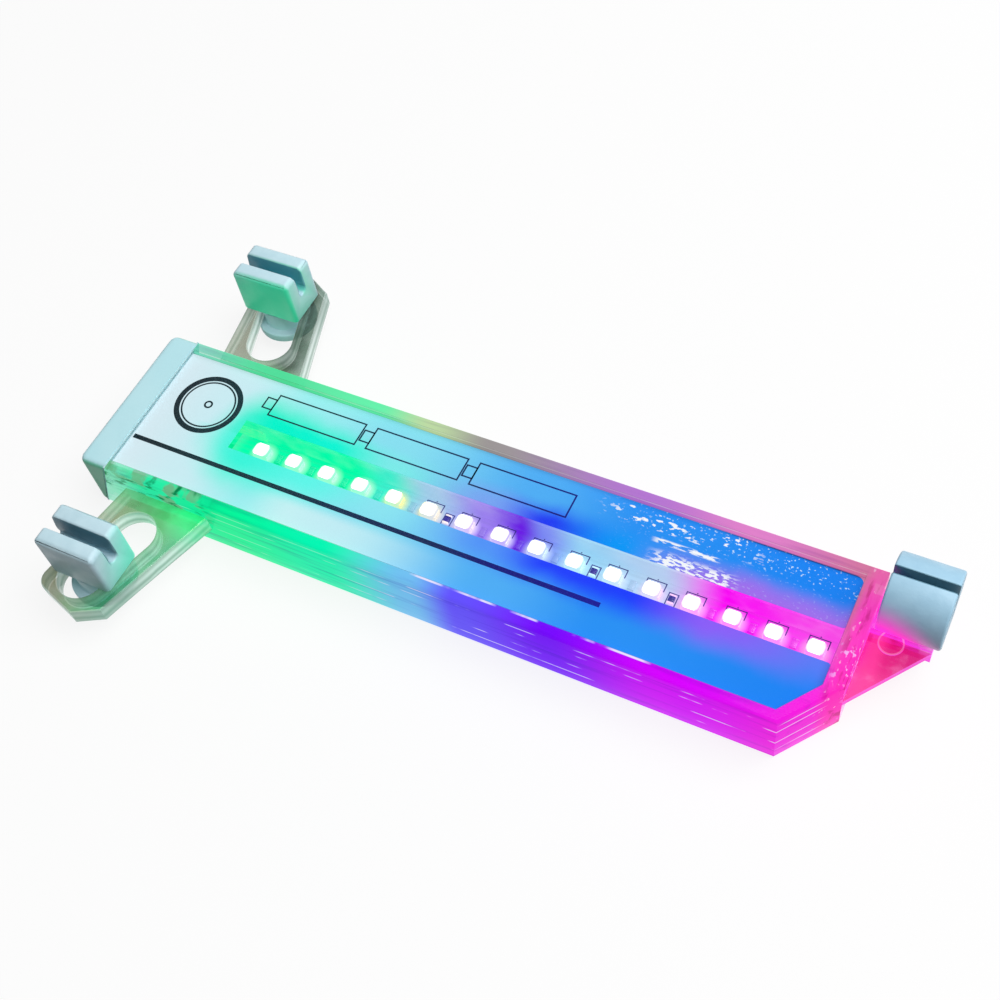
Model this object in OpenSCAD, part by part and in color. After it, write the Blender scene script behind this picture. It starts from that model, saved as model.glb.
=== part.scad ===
// Spoke wheel light: a clear housing with three cells in line, a two-sided row of LEDs,
// a pull-off end cap, two sliding forked spoke clips on ears and a barrel clip at the far end.
// X runs from the cap to the far end, Z is up, and the base lies on Z = 0.

/* [Cells] */
// Diameter of a cell
cell_d = 10.5; // [9:0.1:14.5]
// Length of a cell with its nub
cell_len = 44.5; // [40:0.1:50]
// Diameter of a cell's nub
nub_d = 3.8; // [3:0.1:5.5]
// Height of a cell's nub
nub_len = 0.8; // [0.5:0.1:1.5]
// Gap between a cell and what lies round it
cell_gap = 0.2; // [0.1:0.05:0.5]
// Room for the spring behind the last cell
spring_room = 5.9; // [4.8:0.1:9]
// Wire of the spring
spring_wire = 0.8; // [0.5:0.1:0.9]
// Turns of the spring
spring_turns = 3.5; // [2.5:0.5:3.5]
// Outer diameter of the spring
spring_d = 7.8; // [5:0.1:9]
// Thickness of the metal contacts
contact_t = 0.4; // [0.3:0.05:0.6]
// Width of the plate behind the spring
plate_w = 8.8; // [7.8:0.1:10]

/* [Housing] */
// Width inside for the circuit board
board_bay = 19.6; // [17:0.1:24]
// Thickness of the side walls
wall = 1.6; // [1.2:0.1:2.2]
// Thickness of the top and bottom walls
cover = 1.4; // [1:0.1:2]
// Thickness of the far end wall
end_wall = 1.8; // [1.4:0.1:2.6]
// Height of the lower shell up to the seam
seam_h = 5; // [4.4:0.1:5.5]
// Height of the lip that stands up inside the seam
lip_rise = 1.2; // [0.8:0.1:1.6]
// How far the lip reaches down the lower shell's wall
lip_drop = 2.5; // [1.5:0.1:2.8]
// Thickness of the lip
lip_t = 0.8; // [0.6:0.1:1]
// Gap between the lip and the upper shell
lip_gap = 0.05; // [0.03:0.01:0.1]
// Length of the cut corner along the housing
corner_cut = 7.9; // [6:0.1:9]
// Angle of the cut corner and of the web in line with it
corner_angle = 53; // [48:1:56]
// Thickness of the partition beside the cells
rail_t = 0.9; // [0.7:0.1:1.4]
// Width of the ledge on the partition that carries the board
ledge_w = 0.9; // [0.6:0.1:1.4]
// Thickness of that ledge
ledge_t = 1; // [0.6:0.1:1.4]

/* [Cap] */
// How far the cap stands out past the label's edge
cap_out = 6.4; // [5.8:0.1:9]
// Rounding of the cap's corners seen from above
cap_round = 1.7; // [1.3:0.1:4]
// Rounding of the cap's long edges
cap_edge = 1.2; // [0.6:0.1:2]
// Lean of the seam between cap and housing
cap_lean = 19; // [0:1:21]
// Gap between that seam and the label's edge, at the label's height
cap_seam = 0.15; // [0.1:0.05:0.4]
// How far the plug reaches past the label's edge
plug_reach = 4.6; // [3.8:0.1:7]
// Gap round the plug
plug_gap = 0.2; // [0.1:0.05:0.4]
// Thickness of the gasket
gasket_t = 0.4; // [0.3:0.05:0.6]
// How far the gasket lies in from the outside
gasket_inset = 0.1; // [0.05:0.05:0.6]

/* [Label] */
// Thickness of the label film
label_t = 0.15; // [0.1:0.01:0.2]
// Gap between the label's long edges and the side walls
label_gap = 0.6; // [0.3:0.05:1]
// Clear strip between the label and the end wall
label_end = 1.7; // [1:0.1:2.5]
// Width of the window over the LEDs
window_w = 7.2; // [6:0.1:9]
// Closed stretch of the label before its window
window_start = 20; // [16:0.5:23]

/* [Board] */
// Thickness of the circuit board
board_t = 1.6; // [1:0.1:2]
// Where the board starts, past the label's edge
board_start = 18; // [14:0.5:20]
// Gap between the board and the side wall
board_gap = 0.2; // [0.1:0.05:0.4]
// LEDs in a row
led_count = 16; // [8:1:18]
// Length of an LED
led_l = 3.5; // [2.8:0.1:3.9]
// Width of an LED
led_w = 2.8; // [2:0.1:3.2]
// Height of an LED
led_h = 1.9; // [0.8:0.1:2.2]
// First LED's middle, from the board's start
led_first = 6.9; // [6:0.1:11]
// Last LED's middle, from the board's far end
led_last = 5.1; // [4:0.1:7]
// LED row, in from the partition
led_inset = 3.2; // [3:0.1:4.5]
// Length of a resistor across the board
resistor_l = 2; // [1.2:0.1:2.6]
// Width of a resistor
resistor_w = 1.25; // [0.8:0.05:1.4]
// Height of a resistor
resistor_h = 0.6; // [0.4:0.05:0.8]
// Width of the strip from the cap contact
strip_w = 3; // [2:0.1:3.6]
// Thickness of that strip
strip_t = 0.3; // [0.2:0.05:0.4]
// How far the strip lies on the board
strip_on_board = 6; // [4:0.5:7]
// Row of the larger board parts, in from the partition
parts_inset = 11.5; // [9.5:0.1:13]
// Controller chip's middle, from the board's start
chip_at = 44; // [38:0.5:50]
// Length of the controller chip
chip_l = 9.9; // [6:0.1:12]
// Width of the controller chip
chip_w = 3.9; // [3:0.1:6]
// Height of the controller chip
chip_h = 1.5; // [1:0.1:2]
// Capacitor's middle, from the board's start
capacitor_at = 62; // [58:0.5:70]
// Diameter of the capacitor
capacitor_d = 4; // [3:0.1:5]
// Gap over the capacitor
capacitor_gap = 0.5; // [0.3:0.05:2]
// Motion switch's middle, from the board's start
switch_at = 22; // [16:0.5:30]
// Diameter of the motion switch
switch_d = 3; // [2:0.1:3.8]
// Length of the motion switch
switch_l = 7; // [5:0.1:9]
// Light sensor's middle, from the board's start
sensor_at = 82; // [75:0.5:95]
// Diameter of the light sensor
sensor_d = 3; // [2:0.1:5]
// Height of the light sensor
sensor_h = 2.4; // [1.5:0.1:3.6]

/* [Ears] */
// Thickness of the ears and of the far-end bar
ear_t = 4; // [3:0.1:4.4]
// Lean of the ears towards the cap
ear_lean = 17; // [8:1:20]
// Start of the slot's axis, past the label's edge
slot_x = 11; // [10:0.1:16]
// Gap between a turned jaw at the slot's inner stop and the side wall
swing_gap = 0.5; // [0.2:0.05:3]
// Travel of a clip along its slot
slot_travel = 12.4; // [9:0.1:16]
// Width of the ear's rail on the far side of the slot
rail_far = 4.3; // [3:0.1:6]
// Width of the ear's rail on the cap side, at the housing
rail_near = 5.3; // [3.4:0.1:5.6]
// Width of the same rail at the ear's end
rail_near_end = 1.9; // [1.6:0.1:3.2]
// Width of the ear past the slot's end
ear_end = 1.7; // [1.2:0.1:3]
// Cut across the ear's outer corner
ear_cut = 4.2; // [2:0.1:5]
// Rounding of the ear's other outer corner
ear_round = 3; // [0.5:0.1:3.5]
// Upper clip, back from its slot's outer stop
upper_back = 0.8; // [0:0.1:9]
// Lower clip, back from its slot's outer stop
lower_back = 3.6; // [0:0.1:9]

/* [Forked clips] */
// Diameter of the foot's post in the slot
post_d = 9.4; // [8.6:0.1:10.4]
// Gap round the post
slide_gap = 0.1; // [0.05:0.01:0.2]
// Diameter of the foot's flange under the ear
flange_d = 12.8; // [11.8:0.1:14.2]
// Thickness of the flange
flange_t = 1.9; // [1.6:0.1:2.4]
// Length of a jaw along the spoke
jaw_len = 13.7; // [11:0.1:15]
// Jaw's middle, from its stem towards the cap
jaw_shift = 0.15; // [0:0.05:1]
// Width of a jaw across the spoke
jaw_w = 9.4; // [7.4:0.1:10]
// Height of a jaw above the ear
jaw_h = 10.9; // [9:0.1:13]
// Rounding of the jaw's upright edges
jaw_round = 1; // [0.4:0.1:1.6]
// Bevel along the jaw's top edges
jaw_bevel = 0.8; // [0.3:0.1:1.2]
// Diameter of the stem that the jaw swivels on
stem_d = 5; // [4:0.1:5.6]
// How far the stem's head stands out round the stem
head_out = 0.7; // [0.4:0.05:1]
// Thickness of that head
head_t = 0.9; // [0.6:0.05:1.1]
// How deep that head lies inside the foot
head_in = 0.15; // [0.1:0.05:0.3]
// Running gap round stems
turn_gap = 0.05; // [0.03:0.01:0.08]
// Gap between faces that slide on each other
face_gap = 0.12; // [0.08:0.01:0.2]

/* [Spoke seats] */
// Diameter of the spoke
spoke_d = 2; // [1.8:0.1:2.6]
// Play of the spoke in its seat, on the radius
spoke_gap = 0.05; // [0.02:0.01:0.1]
// How much narrower than the spoke the neck over a jaw's seat is
neck_pinch = 0.2; // [0.1:0.05:0.4]
// How much narrower than the spoke the barrel's slit is
slit_pinch = 0.5; // [0.2:0.05:0.8]
// Height of the neck over a seat's axis
neck_h = 1.7; // [1.3:0.1:2.2]
// How much wider than the spoke a jaw's mouth is
mouth_out = 0.6; // [0.2:0.1:1.2]
// Depth of the spoke's axis below a jaw's top
seat_depth = 5; // [4:0.1:6]

/* [Barrel clip] */
// Diameter of the barrel
barrel_d = 14.2; // [13:0.1:16]
// Length of the barrel
barrel_len = 11.1; // [10:0.1:13]
// Gap between barrel and end wall
barrel_gap = 0.95; // [0.9:0.05:1.6]
// Barrel's axis, in from the housing's side
barrel_in = 5.1; // [4.8:0.1:7]
// Width of the barrel's flat foot
barrel_foot = 8.4; // [7.6:0.1:9]
// Diameter of the barrel's stem
barrel_stem_d = 6; // [5:0.1:6.6]
// How far the head under the bar stands out round the stem
barrel_head_out = 0.7; // [0.4:0.05:1]
// Thickness of that head
barrel_head_t = 1.3; // [1:0.1:1.8]
// Width of the bar that carries the barrel
bar_w = 9; // [8.4:0.1:9.6]
// Width of the bar past the stem's bore
bar_rim = 1.3; // [1:0.1:2]
// Thickness of the web beside the bar
web_t = 1.4; // [1:0.1:2]
// How far the web lies below the bar's top
web_drop = 0.7; // [0.5:0.1:1]
// Diameter of the round moulding mark on the web
mark_d = 4.6; // [3:0.1:5]
// Height of that mark
mark_h = 0.4; // [0.2:0.1:0.8]
// Mark's middle, out from the end wall
mark_x = 4; // [3:0.1:5]
// Mark's middle, in front of the bar
mark_y = 0.9; // [0:0.1:1.5]

/* [Hidden] */
$fn = 64;

// Cells in line
cells = 3;
// Overlap that fuses two features of one piece
fuse = 0.4;
// Overshoot of a cut past the face that it opens
cut = 1;

// Housing: the label's edge at the cap is X = 0 until everything is centred
stack_start = plug_reach + contact_t;
stack_end = stack_start + cells * cell_len;
plate_x = stack_end + spring_room;
inner_end = plate_x + contact_t;
outer_end = inner_end + end_wall;
housing_h = cell_d + 2 * (cell_gap + label_t + cover);
housing_w = board_bay + rail_t + cell_d + 2 * cell_gap + 2 * wall;
side = housing_w / 2;
mid_h = housing_h / 2;
under_top = housing_h - cover - label_t;
above_base = cover + label_t;
rail_y = board_bay + wall - side;
cell_y = rail_y + rail_t + cell_gap + cell_d / 2;

// Board and LEDs
board_z = seam_h + lip_rise;
board_top = board_z + board_t;
board_end = plate_x;
led_y = rail_y - led_inset;
led_pitch = (board_end - led_last - board_start - led_first) / (led_count - 1);
parts_y = rail_y - parts_inset;

// Ears and clips
slot_w = post_d + 2 * slide_gap;
jaw_swing = norm([jaw_len / 2 + jaw_shift - jaw_round, jaw_w / 2 - jaw_round]) + jaw_round;
slot_out = jaw_swing + swing_gap;
ear_top = seam_h + ear_t;
jaw_z = ear_top + face_gap;
jaw_top = jaw_z + jaw_h;
flange_top = seam_h - face_gap;
flange_z = flange_top - flange_t;
head_d = stem_d + 2 * head_out;
head_z = flange_z + head_in;
seat_r = spoke_d / 2 + spoke_gap;
neck_w = spoke_d - neck_pinch;
slit_w = spoke_d - slit_pinch;

// Barrel clip and its bar
barrel_y = side - barrel_in;
barrel_x = outer_end + barrel_gap + barrel_len / 2;
barrel_z = jaw_z + barrel_d / 2;
bar_front = barrel_y - bar_w / 2;
bar_bore = barrel_stem_d + 2 * turn_gap;
bar_end = barrel_x + bar_bore / 2 + bar_rim;
web_z = ear_top - web_drop - web_t;
corner_x = outer_end - corner_cut;
barrel_head_d = barrel_stem_d + 2 * barrel_head_out;

// The middle of the whole length, which becomes X = 0
centre_x = (barrel_x + barrel_len / 2 - cap_out) / 2;

// Where the seam between cap and housing lies at a height
function seam_x(z) = tan(cap_lean) * (z - housing_h + cover) - cap_seam;

// Plan of the housing drawn in by a distance from its sides and by another from its end
function corner_y(in, x) = (in + (x - corner_x) * sin(corner_angle)) / cos(corner_angle) - side;
function plan(start, in, in_end) =
  let (end = outer_end - in_end, bend = corner_x - in * tan(corner_angle / 2), edge = side - in)
  [[start, -edge], [bend, -edge], [end, corner_y(in, end)], [end, edge], [start, edge]];

// A clip's place, a distance back from the outer stop of its slot
function clip_at(back) =
  let (out = slot_travel - back)
  [slot_x - out * sin(ear_lean), side + slot_out + out * cos(ear_lean)];

// Points and faces of the spring's wire
turn_rings = 8;
spring_rings = round(spring_turns * turn_rings);
spring_sides = 6;
spring_from = stack_end + spring_wire / 2;
spring_run = spring_room - spring_wire;
spring_r = (spring_d - spring_wire) / 2;
function spring_turn(i) = 360 * spring_turns * i / spring_rings;
function spring_mid(i) =
  let (turn = spring_turn(i), x = spring_from + spring_run * i / spring_rings)
  [x, cell_y + spring_r * cos(turn), mid_h + spring_r * sin(turn)];
function spring_point(i, k) =
  let (turn = spring_turn(i), about = 360 * k / spring_sides)
  spring_mid(i) + spring_wire / 2 * [sin(about), cos(about) * cos(turn), cos(about) * sin(turn)];
spring_points = [for (i = [0:spring_rings], k = [0:spring_sides - 1]) spring_point(i, k)];
function spring_at(i, k) = i * spring_sides + k % spring_sides;
spring_skin = [for (i = [0:spring_rings - 1], k = [0:spring_sides - 1]) each [
  [spring_at(i, k), spring_at(i + 1, k), spring_at(i + 1, k + 1)],
  [spring_at(i, k), spring_at(i + 1, k + 1), spring_at(i, k + 1)]
]];
spring_ends = [for (k = [1:spring_sides - 2]) each [
  [spring_at(0, 0), spring_at(0, k), spring_at(0, k + 1)],
  [spring_at(spring_rings, 0), spring_at(spring_rings, k + 1), spring_at(spring_rings, k)]
]];
apart = turn_rings - 2;
spring_near = min([
  for (i = [0:spring_rings - apart], j = [i + apart:spring_rings]) norm(spring_mid(i) - spring_mid(j))
]);
echo(str("least gap between the spring's turns: ", spring_near - spring_wire));

// A plate from a plan outline between two heights
module slab(low, high) translate([0, 0, low]) linear_extrude(high - low) children();

// A length of a profile drawn as [Y, Z], between two places along X
module bar_of(from, to) translate([from, 0, 0]) rotate([90, 0, 90]) linear_extrude(to - from) children();

// A square with true round corners
module round_square(l, w, r) {
  square([l - 2 * r, w], center = true);
  square([l, w - 2 * r], center = true);
  for (x = [-1, 1], y = [-1, 1]) translate([x * (l / 2 - r), y * (w / 2 - r)]) circle(r);
}

// Everything on the housing's side of the seam with the cap, moved by a distance towards the cap
module past_seam(ahead) {
  rotate([90, 0, 0])
    linear_extrude(2 * housing_w, center = true)
      polygon([
        [seam_x(-cut) - ahead, -cut], [2 * outer_end, -cut],
        [2 * outer_end, housing_h + cut], [seam_x(housing_h + cut) - ahead, housing_h + cut]
      ]);
}

// One ear with its slot, on the +Y side
module ear() {
  far = slot_w / 2 + rail_far;
  near = slot_w / 2 + rail_near;
  near_end = slot_w / 2 + rail_near_end;
  tip = slot_travel + slot_w / 2 + ear_end;
  root = -slot_out - far;
  corner = [ear_round - near_end, tip - ear_round];
  intersection() {
    translate([slot_x, side + slot_out])
      rotate(ear_lean)
        difference() {
          union() {
            polygon([
              [far, root], [far, tip - ear_cut], [far - ear_cut, tip],
              [corner[0], tip], corner, [-near_end, corner[1]], [-near, -slot_out], [-near, root]
            ]);
            translate(corner) circle(ear_round);
          }
          circle(d = slot_w);
          translate([0, slot_travel]) circle(d = slot_w);
          translate([-slot_w / 2, 0]) square([slot_w, slot_travel]);
        }
    translate([-outer_end, side - fuse]) square([2 * outer_end, 2 * housing_w]);
  }
}

// Bar and web at the far end
module tip_plan_web() {
  polygon([
    [outer_end - fuse, corner_y(0, outer_end - fuse)], [bar_end, bar_front],
    [bar_end, bar_front + fuse], [outer_end - fuse, bar_front + fuse]
  ]);
}
module tip_plan_bar() {
  difference() {
    translate([outer_end - fuse, bar_front]) square([bar_end - outer_end + fuse, bar_w]);
    translate([barrel_x, barrel_y]) circle(d = bar_bore);
  }
}

module upper_shell() {
  color([0.86, 0.95, 0.97, 0.45]) {
    intersection() {
      difference() {
        slab(seam_h, housing_h) polygon(plan(-cap_out, 0, 0));
        slab(seam_h - cut, housing_h - cover) polygon(plan(-cap_out - cut, wall, end_wall));
      }
      past_seam(0);
    }
    slab(seam_h, ear_top) {
      ear();
      mirror([0, 1]) ear();
      tip_plan_bar();
    }
    slab(web_z, web_z + web_t) tip_plan_web();
    slab(web_z, web_z + web_t + mark_h)
      difference() {
        translate([outer_end + mark_x, bar_front - mark_y]) circle(d = mark_d);
        translate([outer_end, bar_front + fuse]) square([mark_x + mark_d, mark_d]);
      }
  }
}

module lower_shell() {
  color([0.86, 0.95, 0.97, 0.45]) {
    intersection() {
      difference() {
        slab(0, seam_h) polygon(plan(-cap_out, 0, 0));
        slab(cover, seam_h + cut) polygon(plan(-cap_out - cut, wall, end_wall));
      }
      past_seam(0);
    }
    lip_start = stack_start + cell_gap;
    intersection() {
      difference() {
        union() {
          slab(seam_h - lip_drop, seam_h) polygon(plan(lip_start, wall - fuse, end_wall - fuse));
          slab(seam_h - lip_drop, board_z) polygon(plan(lip_start, wall + lip_gap, end_wall + lip_gap));
        }
        slab(0, housing_h) polygon(plan(0, wall + lip_t, end_wall + lip_t));
      }
      translate([0, -side, 0]) cube([outer_end, side + rail_y - ledge_w - cell_gap, housing_h]);
    }
  }
}

module end_cap() {
  color([0.75, 0.91, 0.93]) {
    difference() {
      intersection() {
        translate([0, 0, -cut]) linear_extrude(housing_h + 2 * cut) cap_plan();
        bar_of(-cap_out, stack_start) translate([0, mid_h]) round_square(housing_w, housing_h, cap_edge);
      }
      past_seam(gasket_t);
    }
    bar_of(seam_x(0) - gasket_t - fuse, plug_reach)
      translate([0, mid_h])
        square(plug_size, center = true);
  }
}
// The cap seen from above, with round corners at its outer end
module cap_plan() {
  long = cap_out + stack_start + cap_round;
  translate([long / 2 - cap_out, 0]) round_square(long, housing_w, cap_round);
}
plug_size = [housing_w - 2 * (wall + plug_gap), under_top - above_base - 2 * plug_gap];

module cap_gasket() {
  color([0.82, 0.9, 0.9])
    intersection() {
      difference() {
        bar_of(-cap_out, stack_start)
          translate([0, mid_h])
            difference() {
              square([housing_w - 2 * gasket_inset, housing_h - 2 * gasket_inset], center = true);
              square(plug_size + [plug_gap, plug_gap], center = true);
            }
        past_seam(0);
      }
      past_seam(gasket_t);
    }
}

module cap_contact() {
  near = rail_y - strip_t - contact_t;
  color([0.85, 0.8, 0.66])
    bar_of(plug_reach, stack_start)
      translate([near, mid_h - nub_d / 2])
        square([cell_y + nub_d / 2 - near, board_top + strip_w - mid_h + nub_d / 2]);
}

// A label film, whose window is open towards the far end
module label() {
  inset = wall + label_gap;
  difference() {
    polygon(plan(0, inset, end_wall + label_end));
    translate([window_start, led_y - window_w / 2]) square([outer_end, window_w]);
  }
}
module top_label() color([0.55, 0.85, 0.95]) slab(under_top, under_top + label_t) label();
module bottom_label() color([0.55, 0.85, 0.95]) slab(cover, above_base) label();

module circuit_board() {
  inset = wall + board_gap;
  color([0.9, 0.92, 0.95])
    slab(board_z, board_top)
      intersection() {
        polygon(plan(board_start, inset, outer_end - board_end));
        translate([0, -side]) square([outer_end, side + rail_y]);
      }
}

// A row of boxes of one size along the LEDs' line, from a first middle, standing at a height
module row(first, count, size, low) {
  for (i = [0:count - 1])
    translate([first + i * led_pitch - size[0] / 2, led_y - size[1] / 2, low]) cube(size);
}
led_start = board_start + led_first;
led_size = [led_l, led_w, led_h];
resistor_size = [resistor_w, resistor_l, resistor_h];
module top_leds() color([1, 1, 0.96]) row(led_start, led_count, led_size, board_top);
module bottom_leds() color([1, 1, 0.96]) row(led_start, led_count, led_size, board_z - led_h);
module resistors() {
  color([0.2, 0.2, 0.24]) row(led_start + led_pitch / 2, led_count - 1, resistor_size, board_top);
}

module controller_chip() {
  color([0.15, 0.15, 0.17])
    translate([board_start + chip_at - chip_l / 2, parts_y - chip_w / 2, board_top])
      cube([chip_l, chip_w, chip_h]);
}
module capacitor() {
  color([0.75, 0.77, 0.8])
    translate([board_start + capacitor_at, parts_y, board_top])
      cylinder(h = under_top - capacitor_gap - board_top, d = capacitor_d);
}
module motion_switch() {
  color([0.8, 0.8, 0.82])
    translate([board_start + switch_at - switch_l / 2, parts_y, board_top + switch_d / 2])
      rotate([0, 90, 0])
        cylinder(h = switch_l, d = switch_d);
}
module light_sensor() {
  color([0.85, 0.6, 0.3])
    translate([board_start + sensor_at, parts_y, board_top])
      cylinder(h = sensor_h, d = sensor_d);
}

module battery_rail() {
  color([0.9, 0.94, 0.95])
    bar_of(stack_start + cell_gap, plate_x - cell_gap) {
      translate([rail_y, above_base]) square([rail_t, under_top - above_base]);
      translate([rail_y - ledge_w, board_z - ledge_t]) square([ledge_w + rail_t / 2, ledge_t]);
    }
}

// One cell, its nub towards the cap
module cell(i) {
  translate([stack_start + i * cell_len, cell_y, mid_h])
    rotate([0, 90, 0]) {
      cylinder(h = nub_len + fuse, d = nub_d);
      translate([0, 0, nub_len]) cylinder(h = cell_len - nub_len, d = cell_d);
    }
}
module battery_1() color([0.2, 0.2, 0.22]) cell(0);
module battery_2() color([0.2, 0.2, 0.22]) cell(1);
module battery_3() color([0.2, 0.2, 0.22]) cell(2);

module battery_spring() color([0.8, 0.8, 0.82]) polyhedron(spring_points, concat(spring_skin, spring_ends));

module negative_plate() {
  tail = rail_y - led_inset + led_w / 2;
  color([0.85, 0.8, 0.66])
    bar_of(plate_x, inner_end) {
      translate([cell_y, mid_h]) square(plate_w, center = true);
      translate([tail, board_z]) square([cell_y - tail, board_t]);
    }
}

module positive_strip() {
  color([0.85, 0.8, 0.66])
    translate([stack_start, rail_y - strip_t, board_top])
      cube([board_start + strip_on_board - stack_start, strip_t, strip_w]);
}

// Foot of a forked clip, with its bore and the recess for the stem's head
module clip_foot() {
  difference() {
    union() {
      slab(flange_z, flange_top) circle(d = flange_d);
      slab(flange_top - fuse, ear_top) circle(d = post_d);
    }
    slab(flange_z - cut, ear_top + cut) circle(d = stem_d + 2 * turn_gap);
    slab(flange_z - cut, head_z + head_t + face_gap) circle(d = head_d + 2 * turn_gap);
  }
}

// Spoke's way in: a mouth that narrows to a neck, and a round seat, drawn as [Y, Z]
module spoke_way(top, seat, mouth, neck) {
  polygon([
    [-mouth / 2, top], [mouth / 2, top], [neck / 2, seat + neck_h],
    [neck / 2, seat], [-neck / 2, seat], [-neck / 2, seat + neck_h]
  ]);
  translate([0, seat]) circle(seat_r);
}

// A block's face with its two top corners bevelled
module bevelled(w, low, high, bevel) {
  polygon([
    [-w / 2, low], [w / 2, low], [w / 2, high - bevel],
    [w / 2 - bevel, high], [bevel - w / 2, high], [-w / 2, high - bevel]
  ]);
}

// Jaw of a forked clip, its stem at the middle
module clip_jaw() {
  translate([-jaw_shift, 0, 0])
    difference() {
      intersection() {
        slab(jaw_z, jaw_top) round_square(jaw_len, jaw_w, jaw_round);
        bar_of(-jaw_len, jaw_len) bevelled(jaw_w, 0, jaw_top, jaw_bevel);
        rotate(90) bar_of(-jaw_w, jaw_w) bevelled(jaw_len, 0, jaw_top, jaw_bevel);
      }
      bar_of(-jaw_len, jaw_len) spoke_way(jaw_top, jaw_top - seat_depth, spoke_d + mouth_out, neck_w);
    }
  slab(head_z + head_t / 2, jaw_z + fuse) circle(d = stem_d);
  slab(head_z, head_z + head_t) circle(d = head_d);
}

module at_upper() translate([clip_at(upper_back)[0], clip_at(upper_back)[1], 0]) children();
module at_lower() translate([clip_at(lower_back)[0], -clip_at(lower_back)[1], 0]) children();

module upper_clip_foot() color([0.72, 0.88, 0.92]) at_upper() clip_foot();
module upper_clip_jaw() color([0.72, 0.86, 0.9]) at_upper() clip_jaw();
module lower_clip_foot() color([0.72, 0.88, 0.92]) at_lower() clip_foot();
module lower_clip_jaw() color([0.72, 0.86, 0.9]) at_lower() clip_jaw();

module tip_clip() {
  color([0.65, 0.82, 0.91])
    translate([barrel_x, barrel_y, 0]) {
      bar_of(-barrel_len / 2, barrel_len / 2)
        difference() {
          union() {
            translate([0, barrel_z]) circle(d = barrel_d);
            translate([-barrel_foot / 2, jaw_z]) square([barrel_foot, barrel_d / 2]);
          }
          spoke_way(barrel_z + barrel_d, barrel_z, slit_w, slit_w);
        }
      slab(flange_top - barrel_head_t / 2, jaw_z + fuse) circle(d = barrel_stem_d);
      slab(flange_top - barrel_head_t, flange_top) circle(d = barrel_head_d);
    }
}

translate([-centre_x, 0, 0]) {
  upper_shell();
  lower_shell();
  end_cap();
  cap_gasket();
  cap_contact();
  top_label();
  bottom_label();
  circuit_board();
  top_leds();
  bottom_leds();
  resistors();
  controller_chip();
  capacitor();
  motion_switch();
  light_sensor();
  battery_rail();
  battery_1();
  battery_2();
  battery_3();
  battery_spring();
  negative_plate();
  positive_strip();
  upper_clip_foot();
  upper_clip_jaw();
  lower_clip_foot();
  lower_clip_jaw();
  tip_clip();
}
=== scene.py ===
import math

import bpy
from mathutils import Matrix, Vector


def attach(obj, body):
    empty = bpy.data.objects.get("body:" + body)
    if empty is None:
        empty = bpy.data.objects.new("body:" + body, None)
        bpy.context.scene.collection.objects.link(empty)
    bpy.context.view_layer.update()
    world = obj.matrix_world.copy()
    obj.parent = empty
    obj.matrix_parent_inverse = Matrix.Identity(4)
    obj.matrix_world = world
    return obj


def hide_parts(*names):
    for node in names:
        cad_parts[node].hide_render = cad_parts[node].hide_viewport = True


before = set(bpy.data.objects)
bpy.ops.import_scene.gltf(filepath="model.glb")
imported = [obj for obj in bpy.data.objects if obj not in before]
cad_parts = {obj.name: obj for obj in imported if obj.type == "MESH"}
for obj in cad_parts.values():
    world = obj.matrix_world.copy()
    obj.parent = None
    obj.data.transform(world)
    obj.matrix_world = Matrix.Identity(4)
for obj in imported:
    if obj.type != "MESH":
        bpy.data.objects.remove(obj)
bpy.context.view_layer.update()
mm = 0.001
boardMid = 7.0  # height of the board's middle and of its top face in mm
boardTop = 7.8
partsRow = -7.6  # Y of the chip, can, tube and dome in mm
plasticIor = 1.49
housing = {  # outline and heights in mm, with the cut corner and the way that it faces
    "half": 17.3, "end": 70.475, "top": 14.0, "earTop": 9, "earBottom": 5,
    "corner": (62.575, -17.3), "cornerFaces": (0.7986, -0.6018),
}
print("frame loaded:", len(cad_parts), "nodes")


# Small helpers for selecting, shaping and finishing

def only(*chosen):  # nothing but these is selected, and the first is active
    bpy.ops.object.select_all(action="DESELECT")
    for obj in chosen:
        obj.select_set(True)
    if chosen:
        bpy.context.view_layer.objects.active = chosen[0]


def active():
    return bpy.context.view_layer.objects.active


def toEdit(obj, kind="FACE", pick="DESELECT"):
    only(obj)
    bpy.ops.object.mode_set(mode="EDIT")
    bpy.ops.mesh.select_mode(type=kind)
    bpy.ops.mesh.select_all(action=pick)


def toObject():
    bpy.ops.object.mode_set(mode="OBJECT")


def pickFaces(obj, test):  # by the face's middle in mm and its normal
    toEdit(obj)
    toObject()
    for face in obj.data.polygons:
        face.select = bool(test(face.center / mm, face.normal))
    bpy.ops.object.mode_set(mode="EDIT")


def pickEdges(obj, test):  # sharp edges, by their two ends in mm
    toEdit(obj, "EDGE")
    bpy.ops.mesh.edges_select_sharp(sharpness=math.radians(20))
    toObject()
    points = obj.data.vertices
    sharp = [edge for edge in obj.data.edges if edge.select]
    chosen = [edge.index for edge in sharp if test(*(points[i].co / mm for i in edge.vertices))]
    toEdit(obj, "EDGE")
    toObject()
    for index in chosen:
        obj.data.edges[index].select = True
    bpy.ops.object.mode_set(mode="EDIT")


def insetBy(width):  # in mm
    bpy.ops.mesh.inset(thickness=width * mm)


def pullOut(x, y, z):  # extrude the chosen faces by a step in mm
    bpy.ops.mesh.extrude_region_move(TRANSFORM_OT_translate={"value": (x * mm, y * mm, z * mm)})


def roundEdges(obj, test, width, segments=3):  # bevel chosen edges, width in mm
    pickEdges(obj, test)
    bpy.ops.mesh.bevel(offset=width * mm, segments=segments, affect="EDGES", clamp_overlap=False)
    toObject()


def applyModifier(obj, kind, **settings):
    modifier = obj.modifiers.new(kind.lower(), kind)
    for key, value in settings.items():
        setattr(modifier, key, value)
    only(obj)
    bpy.ops.object.modifier_apply(modifier=modifier.name)


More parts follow.
